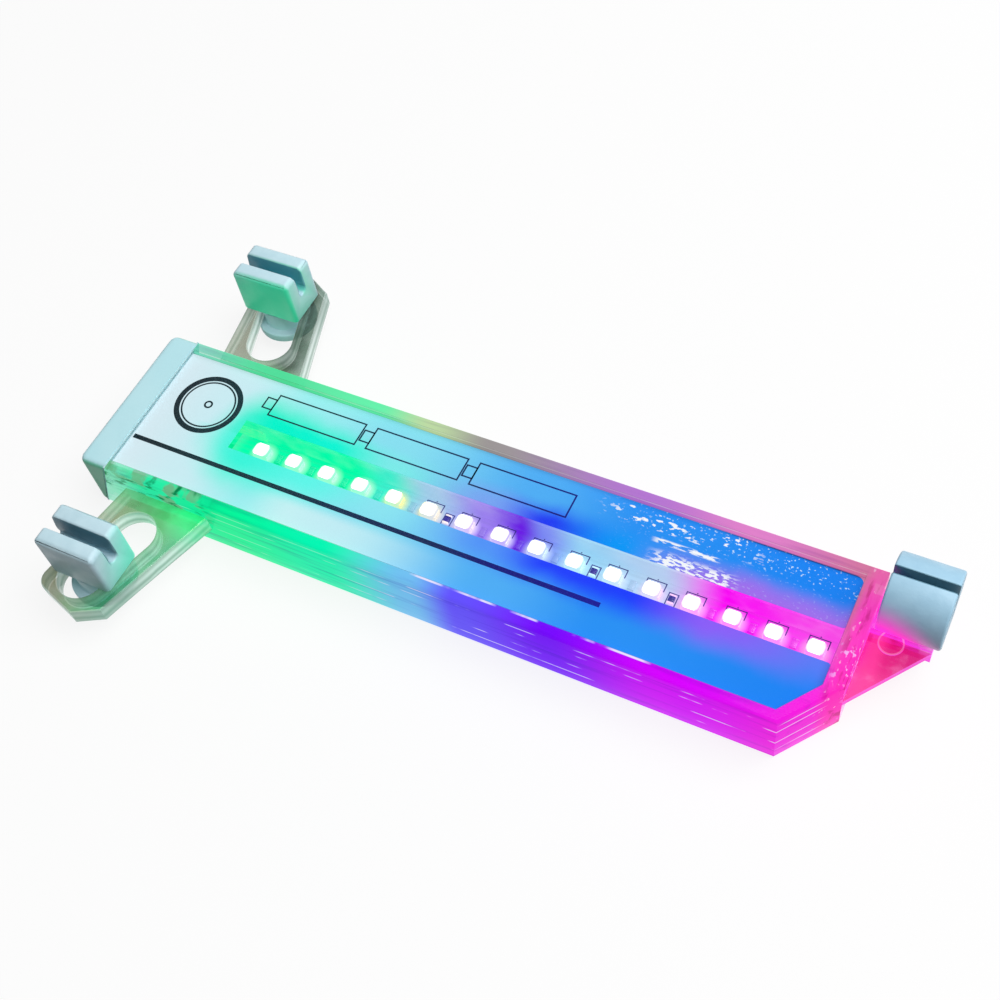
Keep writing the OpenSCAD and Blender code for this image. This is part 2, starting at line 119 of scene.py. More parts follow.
def softEdges(obj, width, segments=3, angle=30):  # every sharp edge
    applyModifier(
        obj, "BEVEL", width=width * mm, segments=segments, limit_method="ANGLE",
        angle_limit=math.radians(angle), use_clamp_overlap=False,
    )


def smooth(obj, angle=35):
    only(obj)
    bpy.ops.object.shade_smooth_by_angle(angle=math.radians(angle))


def settle(obj, name):  # its place, turn and size go into the mesh
    only(obj)
    bpy.ops.object.transform_apply(location=True, rotation=True, scale=True)
    obj.name = name
    obj.data.name = name
    return obj


def joined(parts, name):
    only(*parts)
    bpy.ops.object.join()
    return settle(active(), name)


def copies(obj, offsets):  # copies with their own meshes, moved by offsets in mm
    made = []
    for offset in offsets:
        only(obj)
        bpy.ops.object.duplicate(linked=False)
        active().location = Vector(offset) * mm
        made.append(settle(active(), obj.name))
    bpy.data.objects.remove(obj)
    return made


def turnedOver(obj, middle, axis):  # half a turn about an axis through a point in mm
    pivot = Matrix.Translation(Vector(middle) * mm)
    obj.matrix_world = pivot @ Matrix.Rotation(math.pi, 4, axis) @ pivot.inverted()
    return settle(obj, obj.name)


def traced(nodeName, name):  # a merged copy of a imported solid, with its flat faces made whole
    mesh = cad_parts[nodeName].data.copy()
    mesh.name = name
    mesh.materials.clear()
    obj = bpy.data.objects.new(name, mesh)
    bpy.context.scene.collection.objects.link(obj)
    toEdit(obj, pick="SELECT")
    bpy.ops.mesh.customdata_custom_splitnormals_clear()
    bpy.ops.mesh.remove_doubles(threshold=0.001 * mm)
    bpy.ops.mesh.dissolve_limited(angle_limit=math.radians(0.5))
    toObject()
    return obj


def box(size, middle):  # a block to start from, in mm
    only()
    bpy.ops.mesh.primitive_cube_add(size=1, location=Vector(middle) * mm)
    active().scale = Vector(size) * mm
    return settle(active(), "block")


def rod(radius, length, middle, lying=False, sides=48):  # a round bar, upright or along X, in mm
    only()
    bpy.ops.mesh.primitive_cylinder_add(
        vertices=sides, radius=radius * mm, depth=length * mm, location=Vector(middle) * mm,
        rotation=(0, math.pi / 2 if lying else 0, 0),
    )
    return settle(active(), "rod")


def coat(obj, *finishes):
    obj.data.materials.clear()
    for finish in finishes:
        obj.data.materials.append(finish)


def softened(obj, width, *finishes):  # a small part with its edges taken off, and coated
    softEdges(obj, width, 2)
    coat(obj, *finishes)
    return obj


def paint(obj, slot, test):  # give a finish to the faces that pass
    for face in obj.data.polygons:
        if test(face.center / mm, face.normal):
            face.material_index = slot


def fit(obj, body, slot, *nodes):  # rides on a body and stands for its nodes
    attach(obj, body)
    if nodes:
        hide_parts(*nodes)


def smoothFit(obj, body, slot, node):
    smooth(obj)
    fit(obj, body, slot, node)


# Small helpers for materials, which work on the finish begun last

bench = {"tree": None, "shader": None, "point": None}


def colour(red, green, blue):  # a screen colour, 0 to 255, as the shaders take it
    parts = [v / 255 for v in (red, green, blue)]
    return tuple(v / 12.92 if v <= 0.04045 else ((v + 0.055) / 1.055) ** 2.4 for v in parts) + (1.0,)


def grey(level):
    return (level, level, level, 1)


def addNode(kind, **settings):
    made = bench["tree"].nodes.new("ShaderNode" + kind)
    for key, value in settings.items():
        setattr(made, key, value)
    return made


def feed(socket, value):  # a link, a screen colour or a plain value
    if isinstance(value, bpy.types.NodeSocket):
        bench["tree"].links.new(value, socket)
    elif socket.type == "RGBA" and len(value) == 3:
        socket.default_value = colour(*value)
    else:
        socket.default_value = value


def feedAll(node, *values):  # the first inputs in turn
    for socket, value in zip(node.inputs, values):
        feed(socket, value)


def wire(name, value):  # into the shader's socket of that name
    feed(bench["shader"].inputs[name], value)


def newFinish(name, rough, specular=0.5, **more):
    made = bpy.data.materials.new(name)
    made.use_nodes = True
    bench.update(tree=made.node_tree, shader=made.node_tree.nodes["Principled BSDF"], point=None)
    wire("Roughness", rough)
    wire("Specular IOR Level", specular)
    for key, value in more.items():
        wire(key, value)
    return made


def calc(operation, *values):
    made = addNode("Math", operation=operation)
    feedAll(made, *values)
    return made.outputs[0]


def times(first, *others):
    for other in others:
        first = calc("MULTIPLY", first, other)
    return first


def most(first, *others):
    for other in others:
        first = calc("MAXIMUM", first, other)
    return first


def minus(first, second):
    return calc("SUBTRACT", first, second)


def unsigned(value):
    return calc("ABSOLUTE", value)


def ease(value, low, high, atLow=0.0, atHigh=1.0, how="SMOOTHSTEP"):  # change between two values
    made = addNode("MapRange", interpolation_type=how)
    feedAll(made, value, low, high, atLow, atHigh)
    return made.outputs[0]


def fade(value, low, high):  # from 1 to 0
    return ease(value, low, high, 1.0, 0.0)


def between(value, low, high, soft):  # 1 between two values, with soft ends
    return times(ease(value, low - soft, low), fade(value, high, high + soft))


def ramp(value, stops):  # colours along a value; each stop is (value, red, green, blue)
    low, high = stops[0][0], stops[-1][0]
    made = addNode("ValToRGB")
    line = made.color_ramp
    line.interpolation = "EASE"
    line.elements[0].color = colour(*stops[0][1:])
    line.elements[1].color = colour(*stops[-1][1:])
    for at, *rgb in stops[1:-1]:
        line.elements.new((at - low) / (high - low)).color = colour(*rgb)
    feedAll(made, ease(value, low, high, how="LINEAR"))
    return made.outputs[0]


def mix(factor, first, second, how="MIX"):  # two colours
    made = addNode("Mix", data_type="RGBA", blend_type=how)
    for index, value in ((0, factor), (6, first), (7, second)):
        feed(made.inputs[index], value)
    return made.outputs[2]


def split(vector):  # its X, Y and Z
    made = addNode("SeparateXYZ")
    feedAll(made, vector)
    return made.outputs


def place():  # the point on the piece in mm
    if bench["point"] is None:
        made = addNode("VectorMath", operation="SCALE")
        feedAll(made, addNode("TexCoord").outputs["Object"])
        feed(made.inputs["Scale"], 1 / mm)
        bench["point"] = made.outputs[0]
    return bench["point"]


def measure(operation, first, second):  # a number from two vectors
    made = addNode("VectorMath", operation=operation)
    feedAll(made, first, second)
    return made.outputs["Value"]


def reachOf(stepX, stepY):  # length of a step
    return calc("SQRT", calc("MULTIPLY_ADD", stepX, stepX, times(stepY, stepY)))


def facing():  # X, Y and Z of the way a face points
    return split(addNode("NewGeometry").outputs["True Normal"])


def grain(perMm, detail=2.0, stretch=(1, 1, 1)):  # soft noise, in waves per mm
    mapping = addNode("Mapping")
    feed(mapping.inputs["Vector"], place())
    feed(mapping.inputs["Scale"], stretch)
    noise = addNode("TexNoise")
    for key, value in (("Vector", mapping.outputs[0]), ("Scale", perMm), ("Detail", detail)):
        feed(noise.inputs[key], value)
    return noise.outputs[0]


def bump(height, strength, depth):  # depth in mm
    made = addNode("Bump")
    for key, value in (("Strength", strength), ("Distance", depth * mm), ("Height", height)):
        feed(made.inputs[key], value)
    wire("Normal", made.outputs[0])


def blendSurface(share, first, second):  # the surface takes this share of the second shader
    made = addNode("MixShader")
    feedAll(made, share, first.outputs[0], second.outputs[0])
    feed(bench["tree"].nodes["Material Output"].inputs["Surface"], made.outputs[0])


def seeThrough(solid, tint):  # lets what lies behind show, more where solid is low
    clear = addNode("BsdfTransparent")
    feed(clear.inputs["Color"], tint)
    blendSurface(solid, clear, bench["shader"])


def frontGloss():  # a mirror's share on faces seen from outside, and none from inside
    made = addNode("Fresnel")
    feed(made.inputs["IOR"], plasticIor)
    return times(made.outputs[0], minus(1.0, addNode("NewGeometry").outputs["Backfacing"]))


def litBy(shade, glowing, share):  # one colour, in part reflected and in part its own light
    reflected = mix(1.0, shade, grey(share), "MULTIPLY")
    wire("Base Color", reflected)
    wire("Emission Color", shade)
    wire("Emission Strength", glowing)
    return reflected


# Camera at the photograph's place

view = {
    "lens": 50.25,
    "place": (87.698, -114.708, 226.557),
    "right": (0.889875, 0.441226, -0.115937),
    "down": (0.308301, -0.768949, -0.560061),
    "ahead": (-0.336263, 0.462641, -0.820299),
}
cameraData = bpy.data.cameras.new("viewCamera")
cameraData.lens = view["lens"]
cameraData.sensor_width = 36
cameraData.clip_start = 0.01
camera = bpy.data.objects.new("viewCamera", cameraData)
axes = Matrix((view["right"], -Vector(view["down"]), -Vector(view["ahead"]))).transposed().to_4x4()
camera.matrix_world = Matrix.Translation(Vector(view["place"]) * mm) @ axes
bpy.context.scene.collection.objects.link(camera)
bpy.context.scene.camera = camera

# Pale floor, white surround and a soft lamp

studio = {
    "sky": 0.1, "floorWhite": 0.86, "floorShade": 0.26, "floorPale": 0.97, "floorSize": 3.0,
    "floorDrop": 0.15, "lampAt": (0.45, 0.2, 0.9), "lampSize": 0.9, "lampPower": 12.0,
}


def seenDirectly():  # 1 for the camera, for mirrors and through glass
    path = addNode("LightPath").outputs
    return most(*(path[f"Is {ray} Ray"] for ray in ("Camera", "Glossy", "Transmission")))


world = bpy.data.worlds.new("whiteSurround")
bpy.context.scene.world = world
world.use_nodes = True
bench["tree"] = world.node_tree
sky = world.node_tree.nodes["Background"]
feed(sky.inputs["Color"], grey(1))
feed(sky.inputs["Strength"], calc("MULTIPLY_ADD", seenDirectly(), 1 - studio["sky"], studio["sky"]))

only()
bpy.ops.mesh.primitive_plane_add(size=studio["floorSize"], location=(0, 0, -studio["floorDrop"] * mm))
floor = active()
floor.name = "floor"
floorFinish = newFinish("floorPaper", 0.9, 0.0)
seen = seenDirectly()
wire("Base Color", mix(seen, grey(studio["floorShade"]), grey(studio["floorPale"])))
blendSurface(times(seen, studio["floorWhite"]), bench["shader"], addNode("Emission"))
coat(floor, floorFinish)

lampData = bpy.data.lights.new("overheadLamp", "AREA")
lampData.size = studio["lampSize"]
lampData.energy = studio["lampPower"]
lamp = bpy.data.objects.new("overheadLamp", lampData)
lamp.location = studio["lampAt"]
lamp.rotation_euler = (-Vector(studio["lampAt"])).to_track_quat("-Z", "Y").to_euler()
bpy.context.scene.collection.objects.link(lamp)

bpy.context.scene.view_settings.view_transform = "Standard"
print("camera, floor and lamp ready")


# Colours that the lit LEDs give along the housing, each stop (mm along X, red, green, blue)

lit = {
    "ledRow": 0.7, "firstLed": -51.225, "pitch": 7.627, "span": (-54, 66),  # Y, start, step and reach
    "front": [  # the long side towards the camera
        (-80, 150, 225, 195), (-66, 40, 234, 166), (-48, 0, 242, 152), (-26, 0, 242, 176),
        (-8, 112, 190, 238), (2, 98, 80, 250), (20, 116, 6, 249), (44, 212, 0, 250), (72, 248, 30, 215),
    ],
    "back": [  # the long side away from it
        (-80, 120, 215, 190), (-56, 80, 220, 154), (-32, 96, 238, 168), (-20, 186, 214, 160),
        (-7, 152, 146, 146), (26, 176, 112, 205), (46, 220, 124, 198), (72, 206, 112, 150),
    ],
    "strip": [  # board and rail in the window
        (-60, 0, 244, 172), (-32, 0, 250, 174), (-24, 60, 238, 206), (-14, 166, 206, 236),
        (-2, 158, 130, 237), (5, 110, 30, 228), (10, 126, 140, 242), (18, 156, 214, 244),
        (33, 184, 212, 240), (46, 250, 0, 244), (68, 246, 80, 232),
    ],
    "halo": [  # the board right beside an LED
        (-52, 190, 255, 225), (-28, 205, 255, 225), (-18, 255, 241, 150), (-4, 248, 232, 255),
        (20, 200, 240, 255), (42, 255, 190, 245), (66, 255, 180, 240),
    ],
    "paper": [  # the label film away from the window
        (-77, 220, 240, 248), (-62, 208, 243, 250), (-44, 158, 243, 246), (-24, 138, 228, 246),
        (6, 80, 176, 248), (28, 38, 146, 246), (68, 10, 130, 244),
    ],
    "nearUp": [  # the film beside the window, towards +Y
        (-66, 120, 245, 235), (-50, 0, 250, 208), (-36, 10, 250, 216), (-22, 126, 240, 238),
        (-2, 122, 168, 246), (10, 34, 60, 246), (25, 0, 152, 250), (44, 160, 110, 238), (68, 156, 112, 238),
    ],
    "nearDown": [  # the film beside the window, towards -Y
        (-66, 130, 250, 240), (-52, 60, 252, 224), (-38, 96, 252, 238), (-20, 142, 234, 247),
        (2, 84, 150, 252), (14, 34, 66, 255), (30, 26, 62, 255), (46, 140, 94, 250), (68, 84, 124, 246),
    ],
}


def farFromLeds(x, y):  # distance in mm from the line of LEDs
    return reachOf(most(minus(lit["firstLed"], x), 0.0), minus(y, lit["ledRow"]))


def nearOneLed(x, y, wide):  # 1 at an LED's middle, falling to 0 at a distance in mm
    turns = calc("DIVIDE", minus(x, lit["firstLed"]), lit["pitch"])
    off = times(minus(turns, calc("ROUND", turns)), lit["pitch"])
    near = fade(reachOf(off, minus(y, lit["ledRow"])), 1.2, wide)
    return times(near, between(x, *lit["span"], 1.5))


# Finishes

housingClear = {
    "rough": 0.08, "specular": 0.03, "front": 0.995, "back": 0.86, "glow": 0.9, "share": 0.16,
    "beside": 0.42, "besideBand": (3.8, 8.2),  # the back wall, through which the cells show
    "labelHalf": 15.0, "labelEnd": 66.85, "labelInset": 2.2,
    "lines": (12.4, 10.2, 6.1, 3.2),  # heights of the painted highlight lines along the side
    "streak": (0.5, 0.42, 0.72, 1), "glint": (238, 230, 255), "tint": (0.95, 0.97, 0.97, 1),
    "endDark": (176, 0, 96), "endGlint": (255, 214, 244), "glue": (238, 196, 255),
    "inside": (0, 128, 74), "insideWarm": (108, 182, 134),  # what shows through beside the cap
    "end": [(-17, 250, 20, 190), (-4, 255, 45, 190), (8, 250, 66, 195), (17, 232, 96, 170)],
}


def overLabel(x, y, z, top):  # 0 over the label and 1 elsewhere
    look = housingClear
    half, end, inset = look["labelHalf"], look["labelEnd"], look["labelInset"]
    (cornerX, cornerY), (leanX, leanY) = housing["corner"], housing["cornerFaces"]
    cut = calc("MULTIPLY_ADD", minus(x, cornerX), leanX, times(minus(y, cornerY), leanY))
    cut = ease(cut, -inset - 0.1, -inset + 0.15)
    level = fade(z, 12.2, 12.4) if top else ease(z, 1.55, 1.75)
    return most(ease(unsigned(y), half, half + 0.25), ease(x, end, end + 0.25), cut, level)


def sideShade(x, y, z):  # the painted light in the walls, with darker streaks, painted highlight lines and glints, and what shows through
    look = housingClear
    shade = mix(ease(y, -12, 10), ramp(x, lit["front"]), ramp(x, lit["back"]))
    streaks = ease(grain(0.9, 3.0, (0.05, 0.6, 1.1)), 0.5, 0.25, 0.0, 0.55)
    shade = mix(streaks, shade, look["streak"], "MULTIPLY")
    broken = ease(grain(0.25, 3.0, (0.5, 0.1, 0.6)), 0.48, 0.6)
    bright = times(broken, ease(x, -30, 0, 0.25, 0.75), ease(y, -10, 10, 1.0, 0.25))
    for height in look["lines"]:
        line = fade(unsigned(minus(z, height)), 0.04, 0.2)
        shade = mix(times(line, bright), shade, look["glint"])
    # a painted highlight along the top edge beside the label
    lip = times(between(y, -15.5, -15.15, 0.12), ease(z, 13.85, 13.95, 0.0, 0.9))
    shade = mix(times(lip, broken, between(x, -4, 44, 8.0)), shade, look["glint"])
    nearCap = times(fade(x, -58, -48), fade(y, -15.5, -14.5), ease(z, 6.5, 8.5))
    for perMm, hue, stretch in ((0.34, "insideWarm", (0.7, 0.3, 1.5)), (0.4, "inside", (0.6, 0.3, 1.9))):
        bits = ease(grain(perMm, 4.0, stretch), 0.52, 0.62)
        shade = mix(times(bits, nearCap), shade, look[hue])
    veins = ease(grain(0.5, 4.0, (1.6, 0.35, 0.7)), 0.52, 0.66, 0.0, 0.6)
    end = mix(veins, ramp(y, look["end"]), look["endDark"])
    # painted glints in the pink end
    endGlints = ease(grain(1.2, 3.0, (1.0, 0.5, 0.5)), 0.65, 0.73, 0.0, 0.7)
    end = mix(endGlints, end, look["endGlint"])
    glue = ease(grain(1.3, 5.0, (1.0, 0.6, 1.0)), 0.56, 0.63, 0.0, 0.8)
    end = mix(times(glue, between(y, -5.0, 1.5, 3.0)), end, look["glue"])
    return mix(ease(x, 66.5, 69.0), shade, end)


def makeHousingClear(name, top):  # clear shell, lit from inside, clearest over the label
    look = housingClear
    made = newFinish(name, look["rough"], look["specular"], IOR=plasticIor)
    x, y, z = split(place())
    rim = overLabel(x, y, z, top)
    reflected = litBy(sideShade(x, y, z), times(rim, look["glow"]), look["share"])
    wire("Base Color", mix(rim, grey(0), reflected))
    wall = times(ease(y, -10, 10, look["front"], look["back"]), ease(x, -74, -60, 0.75, 1.0))
    upright = ease(unsigned(facing()[1]), 0.7, 0.95)
    beside = times(upright, ease(y, 14, 15), between(z, *look["besideBand"], 0.5))
    wall = calc("MINIMUM", wall, ease(beside, 0.0, 1.0, 1.0, look["beside"]))
    solid = most(times(rim, wall), times(frontGloss(), 0.3))
    seeThrough(solid, mix(rim, grey(1), look["tint"]))
    return made


earClear = {
    "rough": 0.06, "solid": 0.25, "wallSolid": 0.6, "slotAt": (-65.125, 25.85),
    # edge is the colour of the painted highlight on rounded edges
    "lean": math.tan(math.radians(17)), "edge": (240, 248, 246), "farWall": (126, 160, 148),
    "rootUp": (124, 188, 124), "rootDown": (0, 240, 140), "rootWall": (40, 232, 180),
    "upper": [(-10, 170, 170, 154), (0, 150, 156, 138), (5, 40, 60, 44), (9, 132, 156, 142)],
    "lower": [(-10, 164, 162, 130), (-4, 136, 138, 104), (3, 128, 176, 128), (9, 80, 196, 146)],
    # painted highlight bands up the walls, by height
    "wall": [
        (5, 150, 172, 162), (5.8, 238, 246, 244), (6.6, 172, 192, 184), (7.6, 242, 250, 250),
        (9, 166, 184, 176),
    ],
}


def makeEarClear():  # smoky on its flats, with painted highlights in its walls and on its edges, and painted green light at its root
    look = earClear
    made = newFinish("earClear", look["rough"], IOR=plasticIor)
    x, y, z = split(place())
    out = unsigned(y)
    rear = ease(y, -1, 1)
    slotX, slotY = look["slotAt"]
    across = calc("MULTIPLY_ADD", minus(out, slotY), look["lean"], minus(x, slotX))
    patchy = ease(grain(0.16, 3.0), 0.35, 0.65)
    smoky = mix(rear, ramp(across, look["lower"]), ramp(across, look["upper"]))
    smoky = mix(times(patchy, 0.2), smoky, look["edge"])
    upright = unsigned(facing()[2])
    isWall = fade(upright, 0.2, 0.9)
    bands = ramp(calc("MULTIPLY_ADD", patchy, 0.2, minus(z, 0.1)), look["wall"])
    # the painted wall highlights grow dimmer far from the housing
    bands = mix(ease(out, 27, 40, 0.0, 0.6), bands, look["farWall"])
    shade = mix(isWall, smoky, bands)
    # painted highlight on the rounded edges
    bevelHighlight = times(ease(upright, 0.25, 0.5), fade(upright, 0.75, 0.97))
    shade = mix(times(bevelHighlight, 0.7), shade, look["edge"])
    glowing = mix(isWall, mix(rear, look["rootDown"], look["rootUp"]), look["rootWall"])
    atRoot = fade(out, 17.5, ease(y, -1, 1, 27.0, 22.0))
    atRoot = times(atRoot, ease(across, -7, 5, 0.3, 0.85))  # most away from the cap
    root = times(atRoot, calc("MULTIPLY_ADD", patchy, 0.4, 0.6))
    shade = mix(root, shade, glowing)
    wire("Base Color", shade)
    wire("Emission Color", shade)
    wire("Emission Strength", most(times(root, 0.5), times(isWall, 0.4)))
    half = addNode("Gamma")  # light crosses two faces, so each takes the root of the tint
    feedAll(half, shade, 0.5)
    shadow = addNode("LightPath").outputs["Is Shadow Ray"]
    solid = most(calc("MULTIPLY_ADD", root, 0.5, look["solid"]), times(isWall, look["wallSolid"]))
    seeThrough(most(solid, frontGloss()), mix(shadow, half.outputs[0], grey(1)))
    return made


tipClear = {
    "rough": 0.07, "specular": 0.15, "solid": 0.86, "webSolid": 0.45, "glow": 0.88, "share": 0.25,
    # the see-through tint is pink with painted light
    "webTop": 8.4, "glowTint": (250, 132, 208),
    "web": [
        (70, 255, 40, 180), (72.5, 250, 70, 160), (75, 216, 30, 120), (79, 206, 40, 120),
        (82, 225, 90, 175),
    ],
    "bar": [(70, 250, 45, 222), (76, 240, 50, 214), (79, 226, 70, 208), (82, 226, 150, 222)],
    # edge is the colour of the painted highlight on the walls
    "edge": (252, 64, 240), "pale": (255, 168, 226), "dark": (186, 0, 92), "low": (250, 96, 172),
    "mark": (74.475, 6.72, 2.12),  # middle and radius of the round mark on the web
}


def makeTipClear():  # bar and web at the far end, full of painted pink light, with a painted highlight on their walls
    look = tipClear
    made = newFinish("tipClear", look["rough"], look["specular"], IOR=plasticIor)
    x, y, z = split(place())
    web = mix(ease(y, -3.0, 4.0, 0.75, 0.0), ramp(x, look["web"]), look["low"])
    shade = mix(ease(y, 7.4, 7.7), web, ramp(x, look["bar"]))
    cloudy = grain(0.3, 3.0)
    shade = mix(ease(cloudy, 0.55, 0.75, 0.0, 0.35), shade, look["pale"])
    shade = mix(ease(cloudy, 0.45, 0.3, 0.0, 0.6), shade, look["dark"])
    markX, markY, radius = look["mark"]
    off = unsigned(minus(reachOf(minus(x, markX), minus(y, markY)), radius))
    ring = times(ease(off, 0.08, 0.2, 0.55, 0.0), ease(z, look["webTop"], look["webTop"] + 0.2))
    isWall = ease(unsigned(facing()[2]), 0.3, 0.8, 0.75, 0.0)
    # painted highlight on the walls
    shade = mix(isWall, shade, look["edge"])
    shade = mix(ring, shade, look["pale"])
    litBy(shade, look["glow"], look["share"])
    solid = most(ease(y, 7.4, 7.6, look["webSolid"], look["solid"]), isWall, ring)
    seeThrough(most(frontGloss(), solid), look["glowTint"])
    return made


film = {
    "rough": 0.35, "specular": 0.1, "glow": 0.55, "share": 0.45, "near": 4.0, "far": (11.0, 9.5),
    "wobble": 3.0, "fleck": (246, 250, 255), "fine": (206, 236, 255), "edgeDark": (30, 40, 92),
    "sheen": (240, 254, 255),  # pale towards the rim on the camera's side
}


def airUnderFilm(x, y):  # trapped air: a ragged patch by the window, a streak, flakes and fine dots
    ragged = ease(grain(1.5, 6.0, (0.5, 1.4, 1.0)), 0.47, 0.54)
    ragged = times(ragged, between(x, 33, 44, 4.0), between(y, 4.0, 6.0, 1.6))
    streak = ease(grain(0.7, 4.0, (0.5, 2.2, 1.0)), 0.44, 0.5)
    streak = times(streak, between(x, 31, 41, 2.0), between(y, 8.6, 9.2, 0.4))
    flakes = ease(grain(0.75, 4.0, (0.8, 1.7, 1.0)), 0.6, 0.64)
    flakes = times(flakes, between(x, 24, 44, 8.0), between(y, 11.4, 14.2, 1.5))
    dots = ease(grain(1.7, 3.0, (1.0, 1.2, 1.0)), 0.62, 0.67)
    dots = times(dots, ease(x, 12, 50), ease(y, 8.5, 13.0, 0.15, 1.0))
    above = ease(y, 3.0, 4.2)
    return times(most(ragged, streak, flakes), above), times(dots, above)


def makeFilm():  # printed film in painted LED light: white at the cap, blue at the far end, brightest beside the window
    look = film
    made = newFinish("labelFilm", look["rough"], look["specular"])
    x, y, z = split(place())
    near = mix(ease(y, 0.4, 1.0), ramp(x, lit["nearDown"]), ramp(x, lit["nearUp"]))
    wobble = calc("MULTIPLY_ADD", grain(0.12), look["wobble"], -look["wobble"] / 2)
    reach = times(calc("ADD", farFromLeds(x, y), wobble), ease(x, -58, -24, 0.7, 1.0))
    lightNear = fade(reach, look["near"], ease(y, 0.4, 1.0, *look["far"]))
    shade = mix(lightNear, ramp(x, lit["paper"]), near)
    sheen = times(ease(x, -48, -36), ease(x, -28, 2, 0.5, 0.0), ease(y, -7.5, -10.5))
    shade = mix(sheen, shade, look["sheen"])
    white, fine = airUnderFilm(x, y)
    shade = mix(fine, shade, look["fine"])
    shade = mix(white, shade, look["fleck"])
    backEdge = times(ease(y, 14.75, 14.95), ease(x, 34, 50, 0.0, 0.7))
    shade = mix(backEdge, shade, look["edgeDark"])
    outward = times(minus(z, boardMid), facing()[2])
    inner = calc("LESS_THAN", outward, 0.0)  # the side turned to the LEDs
    shade = mix(inner, shade, ramp(x, lit["strip"]))
    litBy(shade, look["glow"], look["share"])
    bump(grain(2.0, 3.0), 0.15, 0.02)
    return made


boardLook = {
    "rough": 0.4, "specular": 0.15, "glow": 0.8, "share": 0.25, "halo": 3.4, "haloShare": 0.8,
    "mask": (205, 214, 226), "copper": (90, 110, 130), "railPale": (235, 246, 252),
    "stripPale": (226, 214, 176),
}


def makeBoard():  # pale solder mask in the LEDs' light
    look = boardLook
    made = newFinish("boardMask", look["rough"], look["specular"])
    x, y = split(place())[:2]
    away = ease(farFromLeds(x, y), 4.5, 12.0, 0.0, 0.5)
    shade = mix(away, ramp(x, lit["strip"]), look["mask"])
    weave = addNode("TexWave", wave_type="BANDS", bands_direction="Y", wave_profile="SIN")
    feed(weave.inputs["Vector"], place())
    for key, value in (("Scale", 0.28), ("Distortion", 3.0), ("Detail", 0.0), ("Detail Scale", 0.1)):
        feed(weave.inputs[key], value)
    runs = ease(weave.outputs["Fac"], 0.55, 0.62)  # copper that shows faintly through the mask
    shade = mix(times(runs, 0.07), shade, look["copper"])
    halo = times(nearOneLed(x, y, look["halo"]), look["haloShare"])
    shade = mix(halo, shade, ramp(x, lit["halo"]))
    litBy(shade, look["glow"], look["share"])
    bump(runs, 0.3, 0.03)
    return made


def makeRail():  # milky partition beside the board, in painted LED light
    look = boardLook
    made = newFinish("railMilky", 0.35, look["specular"])
    x = split(place())[0]
    cloudy = ease(grain(0.3, 2.0, (0.6, 1, 1)), 0.4, 0.75)
    shade = mix(times(cloudy, 0.08), ramp(x, lit["strip"]), look["railPale"])
    litBy(shade, look["glow"], look["share"])
    bump(cloudy, 0.2, 0.05)
    return made


def makeStripMetal():  # the strip on the board, bathed in the LEDs' light
    made = newFinish("stripMetal", 0.3)
    x = split(place())[0]
    brushed = ease(grain(3.0, 3.0, (0.2, 1, 1)), 0.3, 0.7, 0.04, 0.16)
    litBy(mix(brushed, ramp(x, lit["strip"]), boardLook["stripPale"]), 0.7, 0.4)
    return made


ledLook = {"core": 1.6, "edge": 0.85, "white": (255, 255, 255), "warm": (255, 252, 244)}


def makeLedBody():  # white package, its sides taking the colour of the board's light
    made = newFinish("ledBody", 0.45)
    x, y = split(place())[:2]
    sides = ease(unsigned(facing()[2]), 0.3, 0.8, 0.9, 0.0)
    halo = ramp(x, lit["halo"])
    hot = mix(nearOneLed(x, y, 2.0), halo, ledLook["white"])
    litBy(mix(sides, hot, mix(0.5, halo, ramp(x, lit["strip"]))), ledLook["edge"], 0.3)
    bump(grain(3.0), 0.1, 0.02)
    return made


def makeLedFoot():  # tinned feet, drowned in the light
    made = newFinish("ledFoot", 0.35)
    x = split(place())[0]
    dull = ease(grain(2.0, 3.0), 0.35, 0.65, 0.0, 0.3)
    litBy(mix(dull, ramp(x, lit["halo"]), ramp(x, lit["strip"])), 0.75, 0.4)
    return made


def makeLedCore():  # phosphor, too bright for any colour
    made = newFinish("ledCore", 0.3)
    spots = ease(grain(4.0), 0.3, 0.7)
    litBy(mix(spots, ledLook["warm"], ledLook["white"]), ledLook["core"], 0.6)
    return made


# Milky blue clips; each takes light from the lit housing on the faces turned towards it
clipLooks = {
    "upper": {
        "base": (206, 238, 248), "shadow": (160, 206, 222), "gap": (36.942, 1.25),
        "gapShade": (62, 158, 182), "glowAt": (-64, 28, 11), "glow": (8, 192, 142), "reach": (9, 20),
        "towards": (0.4, -1, 0), "tint": 0.85, "power": 0.42, "above": 9.4,
    },
    "lower": {
        "base": (206, 236, 247), "shadow": (154, 196, 210), "gap": (-34.265, 1.25),
        "gapShade": (60, 122, 142), "glowAt": (-58, -22, 8), "glow": (60, 235, 200), "reach": (8, 20),
        "towards": (1, 0.25, 0), "tint": 0.55, "power": 0.25, "above": 0,
    },
    "tip": {
        "base": (172, 214, 238), "shadow": (134, 182, 212), "gap": (12.2, 0.9),
        "gapShade": (70, 126, 148), "glowAt": (71, 5, 8), "glow": (250, 40, 205), "reach": (5, 14.5),
        "towards": (-0.35, -1, -0.6), "tint": 0.9, "power": 0.95, "above": 0,
    },
}
clipRough = 0.42


